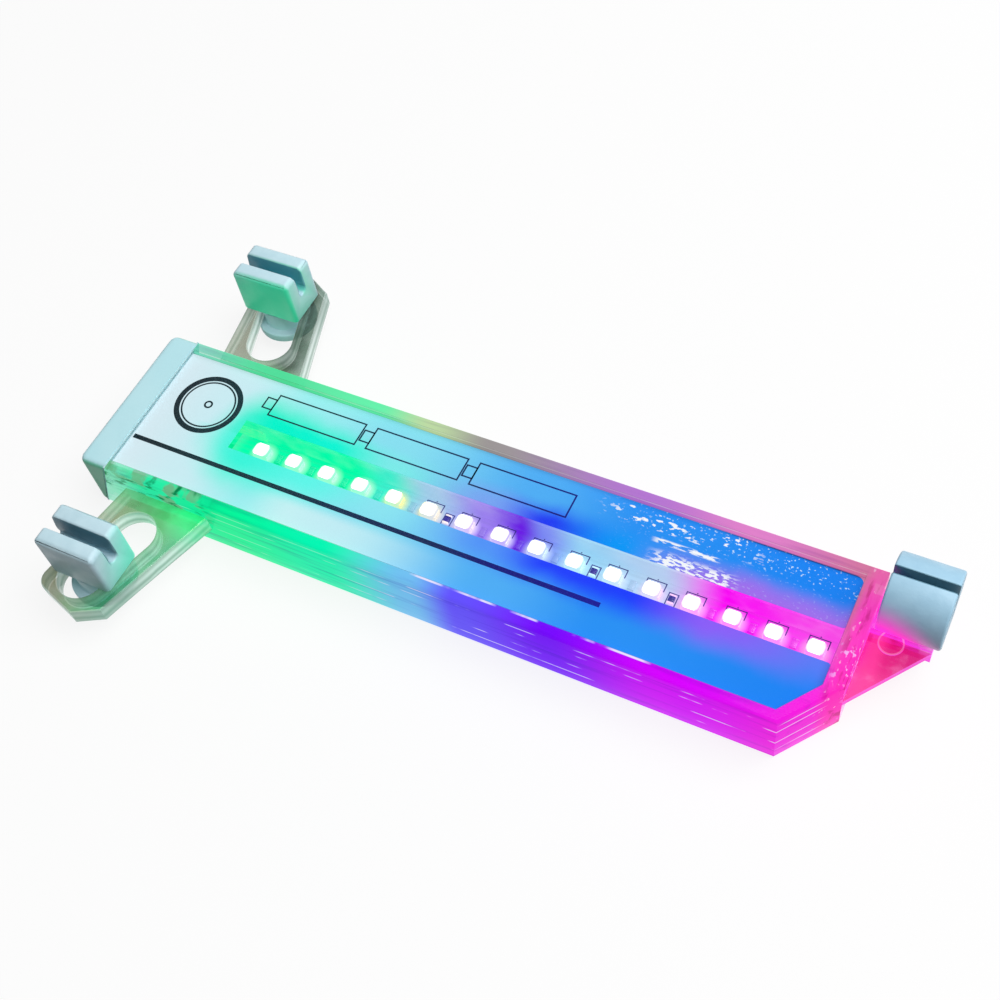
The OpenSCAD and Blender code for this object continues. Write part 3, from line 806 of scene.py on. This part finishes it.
def makeClipPlastic(name):
    look = clipLooks[name]
    made = newFinish(name + "ClipMilky", clipRough)
    y, z = split(place())[1:]
    mottled = ease(grain(0.35, 3.0), 0.3, 0.7)
    shade = mix(times(mottled, 0.2), look["base"], look["shadow"])
    away = measure("DISTANCE", place(), look["glowAt"])
    turned = measure("DOT_PRODUCT", addNode("TexCoord").outputs["Normal"], look["towards"])
    high = ease(z, look["above"] - 0.4, look["above"])
    middle, reach = look["gap"]  # the walls of the spoke's gap lie in their own shadow
    inGap = times(between(y, middle - reach, middle + reach, 0.1), ease(z, 13.5, 15.5, 0.0, 0.85))
    near = times(fade(away, *look["reach"]), ease(turned, 0.0, 0.9), high, minus(1.0, inGap))
    shade = mix(times(near, look["tint"]), shade, look["glow"])
    wire("Base Color", mix(inGap, shade, look["gapShade"]))
    wire("Emission Color", look["glow"])
    wire("Emission Strength", times(near, look["power"]))
    bump(calc("MULTIPLY_ADD", grain(0.5), 5.0, grain(5.0, 3.0)), 0.25, 0.05)
    wire("Roughness", ease(mottled, 0.0, 1.0, clipRough - 0.06, clipRough + 0.06))
    return made


capLook = {
    "base": (197, 241, 249), "deep": (176, 230, 239), "side": (78, 204, 154), "sideLightShare": 0.88,
    "rough": 0.38,
}


def makeCapPlastic():  # mint, with painted green light from the lit ears on its long sides
    look = capLook
    made = newFinish("mintPlastic", look["rough"])
    y = split(place())[1]
    cloudy = ease(grain(0.12, 3.0), 0.3, 0.7)
    shade = mix(times(cloudy, 0.3), look["base"], look["deep"])
    # painted green light on the long sides
    outer = times(ease(unsigned(y), 16.6, 17.2), look["sideLightShare"])
    wire("Base Color", mix(outer, shade, look["side"]))
    bump(grain(4.0, 3.0), 0.1, 0.03)
    wire("Roughness", ease(cloudy, 0.0, 1.0, look["rough"] - 0.05, look["rough"] + 0.08))
    return made


inkLook = {
    # ink colour along X, tinted by painted LED light, bluest at the far end
    "along": [(-76, 10, 30, 38), (-50, 4, 50, 56), (-10, 8, 34, 80), (10, 6, 10, 120), (30, 6, 8, 150)],
    "worn": (60, 100, 140),
}


def makeInk():
    made = newFinish("printInk", 0.5, 0.2)
    x = split(place())[0]
    worn = ease(grain(2.5, 3.0), 0.62, 0.8)
    wire("Base Color", mix(times(worn, 0.2), ramp(x, inkLook["along"]), inkLook["worn"]))
    return made


def makeMetal(name, rgb, rough):
    made = newFinish(name, rough, Metallic=1.0)
    brushed = grain(3.0, 3.0, (0.2, 1.0, 1.0))
    low = tuple(int(v * 0.82) for v in rgb)
    wire("Base Color", mix(ease(brushed, 0.3, 0.7), low, rgb))
    wire("Roughness", ease(brushed, 0.2, 0.8, rough - 0.08, rough + 0.1))
    return made


def makePlain(name, rgb, other, perMm, rough):  # moulded part in two close shades
    made = newFinish(name, rough)
    wire("Base Color", mix(ease(grain(perMm, 3.0), 0.35, 0.65), rgb, other))
    bump(grain(perMm * 8), 0.2, 0.02)
    return made


def makeResistorGlaze(name, drowned):  # glaze, dark or drowned in the LEDs' light
    made = newFinish(name, 0.35)
    x = split(place())[0]
    dark = mix(ease(grain(1.5, 3.0), 0.35, 0.65), (26, 20, 120), (48, 36, 150))
    litBy(mix(drowned, dark, ramp(x, lit["strip"])), 0.6, 0.4)
    return made


cellSpec = {
    "count": 3, "radius": 5.25, "long": 44.5, "nubRadius": 1.9, "nub": 0.8, "start": -71.125,
    "y": 10.25, "z": 7.0, "shoulder": 0.55, "sunk": 0.3, "backLip": 0.6, "backSunk": 0.25,
    "band": 12.8, "line": 14.2, "bandWarm": (196, 132, 70), "linePale": (214, 216, 220),
    "dark": ((38, 40, 46), (48, 51, 58)),
}


def makeWrap():  # a cell's sleeve: dark with a warm band at the nub
    s = cellSpec
    made = newFinish("cellSleeve", 0.28)
    x = split(place())[0]
    along = calc("MODULO", minus(x, s["start"]), s["long"])
    dark = mix(ease(grain(0.5), 0.3, 0.7), *s["dark"])
    shade = mix(ease(along, s["band"], s["band"] + 0.2), s["bandWarm"], dark)
    line = fade(unsigned(minus(along, s["line"])), 0.25, 0.32)
    wire("Base Color", mix(line, shade, s["linePale"]))
    wire("Coat Weight", 0.4)
    bump(grain(1.2, 2.0, (0.3, 1, 1)), 0.1, 0.03)
    return made


upperClear = makeHousingClear("upperClear", True)
lowerClear = makeHousingClear("lowerClear", False)
earFinish = makeEarClear()
tipFinish = makeTipClear()
filmFinish = makeFilm()
inkFinish = makeInk()
boardFinish = makeBoard()
railFinish = makeRail()
stripFinish = makeStripMetal()
ledBodyFinish = makeLedBody()
ledFootFinish = makeLedFoot()
ledCoreFinish = makeLedCore()
capFinish = makeCapPlastic()
brass = makeMetal("contactBrass", (222, 205, 160), 0.3)
steel = makeMetal("springSteel", (205, 208, 212), 0.25)
tin = makeMetal("tinnedEnds", (200, 204, 208), 0.32)
rubber = makePlain("sealRubber", (196, 232, 238), (184, 224, 232), 0.8, 0.6)
chipBlack = makePlain("chipBlack", (34, 35, 38), (44, 45, 49), 1.5, 0.55)
boardInk = makePlain("boardInk", (44, 40, 120), (62, 54, 140), 1.0, 0.6)
sensorAmber = makePlain("sensorLens", (226, 170, 90), (238, 190, 120), 0.8, 0.12)
# one glaze, once dark and once with painted LED light
resistorDark = makeResistorGlaze("resistorDark", 0.0)
resistorPale = makeResistorGlaze("resistorPale", 0.85)
wrapFinish = makeWrap()
print("finishes made:", len(bpy.data.materials))


# Clear shells

shellSpec = {"rim": 0.7, "rimSteps": 4, "earEdge": 0.5}


def flatAt(z, near=0.02):
    return lambda a, b: abs(a.z - z) < near and abs(b.z - z) < near


def onOutside(p):  # on the housing's own outline, apart from the seam at the cap
    (cornerX, cornerY), (leanX, leanY) = housing["corner"], housing["cornerFaces"]
    corner = (p.x - cornerX) * leanX + (p.y - cornerY) * leanY
    return min(abs(abs(p.y) - housing["half"]), abs(p.x - housing["end"]), abs(corner)) < 0.03


def outsideEdge(a, b):  # not the edge that runs across at the cap
    return onOutside(a) and onOutside(b) and not (a.x < -70 and b.x < -70)


def isUpright(a, b, least=0.3):
    return abs(a.x - b.x) < 0.01 and abs(a.y - b.y) < 0.01 and abs(a.z - b.z) > least


def earEdge(a, b):  # both faces of an ear, up to its root
    inner, outer = sorted((abs(a.y), abs(b.y)))
    level = flatAt(housing["earTop"])(a, b) or flatAt(housing["earBottom"])(a, b)
    return inner > housing["half"] - 0.05 and outer > housing["half"] + 0.05 and level


def barEdge(a, b):  # top of the far-end bar, up to its root
    inner, outer = sorted((a.x, b.x))
    level = flatAt(housing["earTop"])(a, b)
    return inner > housing["end"] - 0.075 and outer > housing["end"] + 0.075 and level


def cutAt(obj, spot, way):  # new edges where a plane in mm meets the piece
    toEdit(obj, pick="SELECT")
    bpy.ops.mesh.bisect(plane_co=Vector(spot) * mm, plane_no=way, threshold=0.01 * mm)
    toObject()


def tracedShell(half, level):  # a half of the housing, with the rim at its outer face rounded
    shell = traced(f"{half}_shell", f"clear_{half}_shell")
    isRim = flatAt(level)
    roundEdges(
        shell, lambda a, b: isRim(a, b) and outsideEdge(a, b), shellSpec["rim"], shellSpec["rimSteps"]
    )
    return shell


upperShell = tracedShell("upper", housing["top"])
roundEdges(upperShell, earEdge, shellSpec["earEdge"])
roundEdges(upperShell, barEdge, shellSpec["earEdge"])
cutAt(upperShell, (0, housing["half"], 0), (0, 1, 0))
cutAt(upperShell, (0, -housing["half"], 0), (0, 1, 0))
cutAt(upperShell, (housing["end"], 0, 0), (1, 0, 0))
coat(upperShell, upperClear, earFinish, tipFinish)
paint(upperShell, 1, lambda p, n: abs(p.y) > housing["half"] + 0.02 and p.x < 0)
paint(upperShell, 2, lambda p, n: p.x > housing["end"] + 0.025)
smoothFit(upperShell, "housing", "clear_plastic", "upper_shell")

lowerShell = tracedShell("lower", 0)
coat(lowerShell, lowerClear)
smoothFit(lowerShell, "housing", "clear_plastic", "lower_shell")
print("shells done")


# Labels and what is printed on them

labelSpec = {
    "down": 0.08, "inkLift": 0.02, "inkThick": 0.02, "topFace": 12.6, "bottomFace": 1.4,
    "farCorner": 1.6, "windowCorner": 0.7, "toSeam": 0.38,
}
printSpec = {
    "wheel": (-65.725, 4.8),
    "rings": [(7.2, 1.15), (5.75, 0.36), (0.95, 0.4)],  # outer radius and width
    "cellStart": -52.925, "cellTop": 12.4, "cellLong": 20.5, "cellWide": 5.5, "cellGap": 2.26,
    "nubWide": 2.9, "nubGap": 0.1, "line": 0.32, "cells": 3,
    "barFrom": -75.9, "barTo": 26.4, "barAt": -7.5, "barWide": 1.0,
}


def hollowOut(width):  # leaves a band along the outline of a flat piece
    toEdit(active(), pick="SELECT")
    insetBy(width)
    bpy.ops.mesh.delete(type="FACE")
    toObject()


def flatRing(x, y, z, radius, width, sides=96):  # a printed ring, in mm
    only()
    bpy.ops.mesh.primitive_circle_add(
        vertices=sides, radius=radius * mm, fill_type="NGON", location=Vector((x, y, z)) * mm
    )
    hollowOut(width)
    return settle(active(), "ring")


def flatFrame(low, high, z, width=0):  # a printed rectangle between two corners, filled without a width
    only()
    middle = Vector(((low[0] + high[0]) / 2, (low[1] + high[1]) / 2, z)) * mm
    bpy.ops.mesh.primitive_plane_add(size=1, location=middle)
    active().scale = ((high[0] - low[0]) * mm, (high[1] - low[1]) * mm, 1)
    settle(active(), "frame")
    if width:
        hollowOut(width)
    return active()


def inked(marks, name, thick, ink, slot):  # joins flat marks and gives them a thickness
    piece = joined(marks, name)
    applyModifier(piece, "SOLIDIFY", thickness=thick * mm, offset=0)
    coat(piece, ink)
    fit(piece, "housing", slot)


def printedMarks(z):
    p = printSpec
    marks = [flatRing(*p["wheel"], z, radius, width) for radius, width in p["rings"]]
    low = p["cellTop"] - p["cellWide"]
    middle, half = p["cellTop"] - p["cellWide"] / 2, p["nubWide"] / 2
    for i in range(p["cells"]):
        start = p["cellStart"] + i * (p["cellLong"] + p["cellGap"])
        marks.append(flatFrame((start, low), (start + p["cellLong"], p["cellTop"]), z, p["line"]))
        nub = (start - p["cellGap"] + p["nubGap"], middle - half)
        marks.append(flatFrame(nub, (start + p["line"], middle + half), z, p["line"]))
    half = p["barWide"] / 2
    marks.append(flatFrame((p["barFrom"], p["barAt"] - half), (p["barTo"], p["barAt"] + half), z))
    return marks


def makeLabel(node, name, side):  # side is 1 on top and -1 below
    s = labelSpec
    sheet = traced(node, name)
    roundEdges(sheet, lambda a, b: isUpright(a, b, 0.1) and a.x > 66 and a.y > 14, s["farCorner"], 6)
    roundEdges(sheet, lambda a, b: isUpright(a, b, 0.1) and a.x > 66 and abs(a.y) < 6, s["windowCorner"], 4)
    pickFaces(sheet, lambda p, n: n.x < -0.9 and p.x < -76)
    bpy.ops.transform.translate(value=(-s["toSeam"] * mm, 0, 0))
    toObject()
    sheet.location.z = -side * s["down"] * mm
    settle(sheet, name)
    coat(sheet, filmFinish)
    fit(sheet, "housing", "label_film", node)
    face = s["topFace"] if side > 0 else s["bottomFace"]
    marks = printedMarks(face - side * (s["down"] - s["inkLift"]))
    inked(marks, name + "_print", s["inkThick"], inkFinish, "label_film")


makeLabel("top_label", "label_top", 1)
makeLabel("bottom_label", "label_bottom", -1)
print("labels printed")


# LEDs, one modelled and then copied along the board

ledSpec = {
    "count": 16, "long": 3.5, "wide": 2.8, "high": 1.9, "rim": 0.45, "dish": 0.25, "foot": 0.35,
    "corner": 0.75,
}


def alongRow(i):  # offset of an LED, or of a place between two of them
    return (lit["firstLed"] + i * lit["pitch"], 0, 0)


def oneLed():
    s = ledSpec
    row, top = lit["ledRow"], boardTop + s["high"]
    body = box((s["long"] - 0.3, s["wide"], s["high"]), (0, row, boardTop + s["high"] / 2))
    roundEdges(body, isUpright, s["corner"], 4)
    pickFaces(body, lambda p, n: n.z > 0.9)
    insetBy(s["rim"])
    bpy.ops.transform.translate(value=(0, 0, -s["dish"] * mm))
    pullOut(0, 0, s["dish"] * 0.8)
    bpy.ops.transform.resize(value=(0.8, 0.8, 1), center_override=(0, row * mm, top * mm))
    toObject()
    coat(body, ledBodyFinish, ledCoreFinish)
    reach = s["long"] / 2 - s["rim"] - 0.2
    paint(body, 1, lambda p, n: p.z > top - s["dish"] - 0.05 and abs(p.x) < reach)
    softEdges(body, 0.12, 2)
    parts = [body]
    for end in (-1, 1):
        middle = (end * (s["long"] - s["foot"]) / 2, row, boardTop + s["high"] * 0.275)
        foot = box((s["foot"], s["wide"] * 0.75, s["high"] * 0.55), middle)
        parts.append(softened(foot, 0.08, ledFootFinish))
    return joined(parts, "led")


def makeLedRow(name, node, below):
    single = oneLed()
    if below:
        turnedOver(single, (0, lit["ledRow"], boardMid), "X")
    row = joined(copies(single, [alongRow(i) for i in range(ledSpec["count"])]), name)
    smoothFit(row, "housing", "led_lens", node)


makeLedRow("led_row_top", "top_leds", False)
makeLedRow("led_row_bottom", "bottom_leds", True)
print("LED rows done")


# Small parts on the board

resistorSpec = {"long": 2.0, "wide": 1.25, "high": 0.6, "end": 0.4, "dark": (5, 9, 11)}


def resistors(chosen, glaze, ends):  # one modelled and copied to its places between the LEDs
    s = resistorSpec
    row, z = lit["ledRow"], boardTop + s["high"] / 2
    body = box((s["wide"] - 0.08, s["long"] - s["end"], s["high"] - 0.06), (0, row, z))
    parts = [softened(body, 0.05, glaze)]
    for end in (-1, 1):
        cap = box((s["wide"], s["end"], s["high"]), (0, row + end * (s["long"] - s["end"]) / 2, z))
        parts.append(softened(cap, 0.07, ends))
    return copies(joined(parts, "resistor"), [alongRow(i + 0.5) for i in chosen])


drowned = [i for i in range(ledSpec["count"] - 1) if i not in resistorSpec["dark"]]
resistorParts = resistors(drowned, resistorPale, resistorPale)
resistorParts += resistors(resistorSpec["dark"], resistorDark, ledFootFinish)
resistorRow = joined(resistorParts, "resistor_row")
smoothFit(resistorRow, "housing", "resistor_body", "resistors")

markSpec = {
    "line": 0.2, "lift": 0.02, "thick": 0.02, "first": 5, "last": 15, "dot": 0.13, "half": 1.95,
    "across": 2.85, "legs": 1.0, "dotAt": 3.06, "pad": (1.0, 1.5),
}


def boardMarks():  # a bracket and a dot behind each LED, and outlines round the dark resistors
    m = markSpec
    z = boardTop + m["lift"]
    row, line, half = lit["ledRow"], m["line"], m["half"]
    top = row + m["across"]
    marks = []
    for i in range(m["first"], m["last"] + 1):
        x = alongRow(i)[0]
        marks.append(flatFrame((x - half, top - line), (x + half, top), z))
        for left in (x - half, x + half - line):
            marks.append(flatFrame((left, row + m["legs"]), (left + line, top - line), z))
        marks.append(flatRing(x, row + m["dotAt"], z, m["dot"], m["dot"] * 0.7, 16))
    across, along = m["pad"]
    for i in resistorSpec["dark"]:
        x = alongRow(i + 0.5)[0]
        marks.append(flatFrame((x - across, row - along), (x + across, row + along), z, line))
    return marks


inked(boardMarks(), "board_print", markSpec["thick"], boardInk, "board_laminate")

chipSpec = {
    "at": -14.125, "long": 9.9, "wide": 3.9, "high": 1.5, "lift": 0.15, "legs": 7, "legPitch": 1.27,
    "leg": (0.42, 1.25, 0.2), "legHigh": 0.75, "legDown": 0.62, "legToe": 0.45,
}


def makeChip():
    s = chipSpec
    middle = (s["at"], partsRow, boardTop + (s["lift"] + s["high"]) / 2)
    body = softened(box((s["long"], s["wide"], s["high"] - s["lift"]), middle), 0.18, chipBlack, tin)
    leg = box(s["leg"], (0, 0, boardTop + s["legHigh"]))
    pickFaces(leg, lambda p, n: n.y > 0.9)
    pullOut(0, 0.15, -s["legDown"])
    pullOut(0, s["legToe"], 0)
    toObject()
    softEdges(leg, 0.04, 1)
    coat(leg, tin)
    first = s["at"] - s["legPitch"] * (s["legs"] - 1) / 2
    beside = partsRow + s["wide"] / 2 + 0.2
    row = joined(copies(leg, [(first + i * s["legPitch"], beside, 0) for i in range(s["legs"])]), "legs")
    only(row)
    bpy.ops.object.duplicate(linked=False)
    other = turnedOver(active(), (s["at"], partsRow, 0), "Z")
    chip = joined([body, row, other], "chip_package")
    smoothFit(chip, "housing", "chip_body", "controller_chip")


makeChip()

canSpec = {"at": 3.875, "radius": 2.0, "high": 4.15, "base": 0.6, "lip": 0.25, "dent": 0.12}


def makeCan():  # electrolytic can on a square foot
    s = canSpec
    middle = (s["at"], partsRow, boardTop + (s["high"] + s["base"]) / 2)
    can = rod(s["radius"], s["high"] - s["base"], middle)
    pickFaces(can, lambda p, n: n.z > 0.9)
    insetBy(s["lip"])
    pullOut(0, 0, -s["dent"])
    toObject()
    softEdges(can, 0.15)
    coat(can, tin)
    wide = s["radius"] * 2
    foot = box((wide, wide, s["base"]), (s["at"], partsRow, boardTop + s["base"] / 2))
    whole = joined([can, softened(foot, 0.15, chipBlack)], "capacitor_can")
    smoothFit(whole, "housing", "can_metal", "capacitor")


makeCan()

tubeSpec = {"at": -36.125, "radius": 1.5, "long": 7.0, "waist": 0.5, "lip": 0.3, "dent": 0.25}


def makeTube():  # motion switch: a tube with pressed ends
    s = tubeSpec
    middle = (s["at"], partsRow, boardTop + s["radius"])
    tube = rod(s["radius"], s["long"], middle, True)
    for end in (-1, 1):
        pickFaces(tube, lambda p, n: n.x * end > 0.9)
        insetBy(s["lip"])
        pullOut(-end * s["dent"], 0, 0)
        toObject()
    softEdges(tube, 0.12)
    coat(tube, tin)
    waist = softened(rod(s["radius"] - 0.02, s["waist"], middle, True), 0.1, chipBlack)
    whole = joined([tube, waist], "motion_switch_tube")
    smoothFit(whole, "housing", "can_metal", "motion_switch")


makeTube()

domeSpec = {"at": 23.875, "radius": 1.5, "high": 2.4, "flange": 0.5}


def makeDome():  # light sensor: flanged body with a domed lens
    s = domeSpec
    top = boardTop + s["high"]
    lens = rod(s["radius"] * 0.86, s["high"], (s["at"], partsRow, boardTop + s["high"] / 2))
    roundEdges(lens, lambda a, b: min(a.z, b.z) > top - 0.01, s["radius"] * 0.7, 6)
    coat(lens, sensorAmber)
    flange = rod(s["radius"], s["flange"], (s["at"], partsRow, boardTop + s["flange"] / 2))
    whole = joined([lens, softened(flange, 0.1, sensorAmber)], "sensor_dome")
    smoothFit(whole, "housing", "sensor_lens", "light_sensor")


makeDome()
print("board parts done")


# Cells, spring and contacts

def makeCell(index):
    s = cellSpec
    length = s["long"] - s["nub"]
    start = s["start"] + index * s["long"] + s["nub"]
    body = rod(s["radius"] - 0.01, length, (start + length / 2, s["y"], s["z"]), True, 64)
    pickFaces(body, lambda p, n: n.x < -0.9)
    insetBy(s["shoulder"])
    pullOut(s["sunk"], 0, 0)
    insetBy(s["radius"] - s["shoulder"] - s["nubRadius"])
    pullOut(-s["nub"] - s["sunk"], 0, 0)
    toObject()
    pickFaces(body, lambda p, n: n.x > 0.9)
    insetBy(s["backLip"])
    pullOut(-s["backSunk"], 0, 0)
    toObject()
    coat(body, wrapFinish, steel)
    paint(body, 1, lambda p, n: (p.yz - Vector((s["y"], s["z"]))).length < s["radius"] - 0.5)
    softEdges(body, 0.18)
    settle(body, f"cell_{index + 1}")
    smoothFit(body, "housing", "cell_wrap", f"battery_{index + 1}")


for number in range(cellSpec["count"]):
    makeCell(number)

springSpec = {"radius": 3.5, "wire": 0.4, "turns": 3.5, "from": 62.775, "run": 5.1, "perTurn": 28}


def makeSpring():  # a round wire wound by the Screw modifier
    s = springSpec
    only()
    bpy.ops.mesh.primitive_circle_add(
        vertices=14, radius=s["wire"] * mm, location=(0, s["radius"] * mm, 0)
    )
    coil = settle(active(), "spring_coil")
    steps = int(s["perTurn"] * s["turns"])
    applyModifier(
        coil, "SCREW", axis="X", angle=2 * math.pi * s["turns"], screw_offset=s["run"] * mm, steps=steps,
        render_steps=steps, use_merge_vertices=False, use_smooth_shade=True,
    )
    toEdit(coil, "EDGE")
    bpy.ops.mesh.select_non_manifold()
    bpy.ops.mesh.edge_face_add()
    bpy.ops.mesh.select_all(action="SELECT")
    bpy.ops.mesh.remove_doubles(threshold=0.001 * mm)
    bpy.ops.mesh.normals_make_consistent(inside=False)
    toObject()
    coil.location = Vector((s["from"], cellSpec["y"], cellSpec["z"])) * mm
    settle(coil, "spring_coil")
    smooth(coil, 50)
    coat(coil, steel)
    fit(coil, "housing", "spring_steel", "battery_spring")


makeSpring()

for nodeName, finish in (
    ("negative_plate", brass), ("positive_strip", stripFinish), ("cap_contact", brass),
    ("circuit_board", boardFinish), ("battery_rail", railFinish), ("cap_gasket", rubber),
):
    coat(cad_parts[nodeName], finish)
print("cells and contacts done")


# End cap

capSpec = {
    "from": -82.525, "blockTo": -70, "corner": 1.7, "edge": 1.2, "seamAt": (-76.675, 12.6), "lean": 19,
    "plugTo": -71.525, "plug": (15.5, 1.75, 12.25),  # half width, bottom and top
}


def makeCap():
    s = capSpec
    half, high = housing["half"], housing["top"]
    cap = box((s["blockTo"] - s["from"], 2 * half, high), ((s["blockTo"] + s["from"]) / 2, 0, high / 2))
    roundEdges(cap, lambda a, b: isUpright(a, b) and a.x < s["from"] + 0.1, s["corner"], 7)
    for level in (0, high):
        isRim = flatAt(level)
        roundEdges(cap, lambda a, b: isRim(a, b) and min(a.x, b.x) < s["blockTo"] - 0.1, s["edge"], 5)
    lean = math.radians(s["lean"])
    seamX, seamZ = s["seamAt"]
    toEdit(cap, pick="SELECT")
    bpy.ops.mesh.bisect(
        plane_co=(seamX * mm, 0, seamZ * mm), plane_no=(math.cos(lean), 0, -math.sin(lean)),
        clear_outer=True, use_fill=True,
    )
    toObject()
    plugHalf, low, top = s["plug"]
    plugFrom = seamX - high * math.tan(lean)
    middle = ((s["plugTo"] + plugFrom) / 2, 0, (low + top) / 2)
    plug = box((s["plugTo"] - plugFrom, 2 * plugHalf, top - low), middle)
    softEdges(plug, 0.4)
    return joined([cap, plug], "mint_cap")


endCap = makeCap()
coat(endCap, capFinish)
smoothFit(endCap, "cap", "mint_plastic", "end_cap")
print("cap done")


# Spoke clips

clipSpec = {  # jaw and foot have a bevel's width and the angle that it starts from
    "jaw": (0.38, 25), "foot": (0.25, 30), "barrelEdge": 0.45, "slitEdge": 0.1, "slitAt": (12.2, 0.8),
}


def makeClip(side):
    finish = makeClipPlastic(side)
    for part in ("jaw", "foot"):
        width, angle = clipSpec[part]
        piece = traced(f"{side}_clip_{part}", f"{side}_{part}")
        softEdges(piece, width, 3, angle)
        coat(piece, finish)
        smoothFit(piece, f"{side}_{part}", "clip_plastic", f"{side}_clip_{part}")


makeClip("upper")
makeClip("lower")


def inSlit(a, b):
    middle, reach = clipSpec["slitAt"]
    return max(abs(a.y - middle), abs(b.y - middle)) < reach and min(a.z, b.z) > 15


barrel = traced("tip_clip", "tip_barrel")
roundEdges(barrel, lambda a, b: not inSlit(a, b), clipSpec["barrelEdge"], 4)
roundEdges(barrel, inSlit, clipSpec["slitEdge"], 2)
coat(barrel, makeClipPlastic("tip"))
smoothFit(barrel, "tip", "clip_plastic", "tip_clip")
print("clips done")
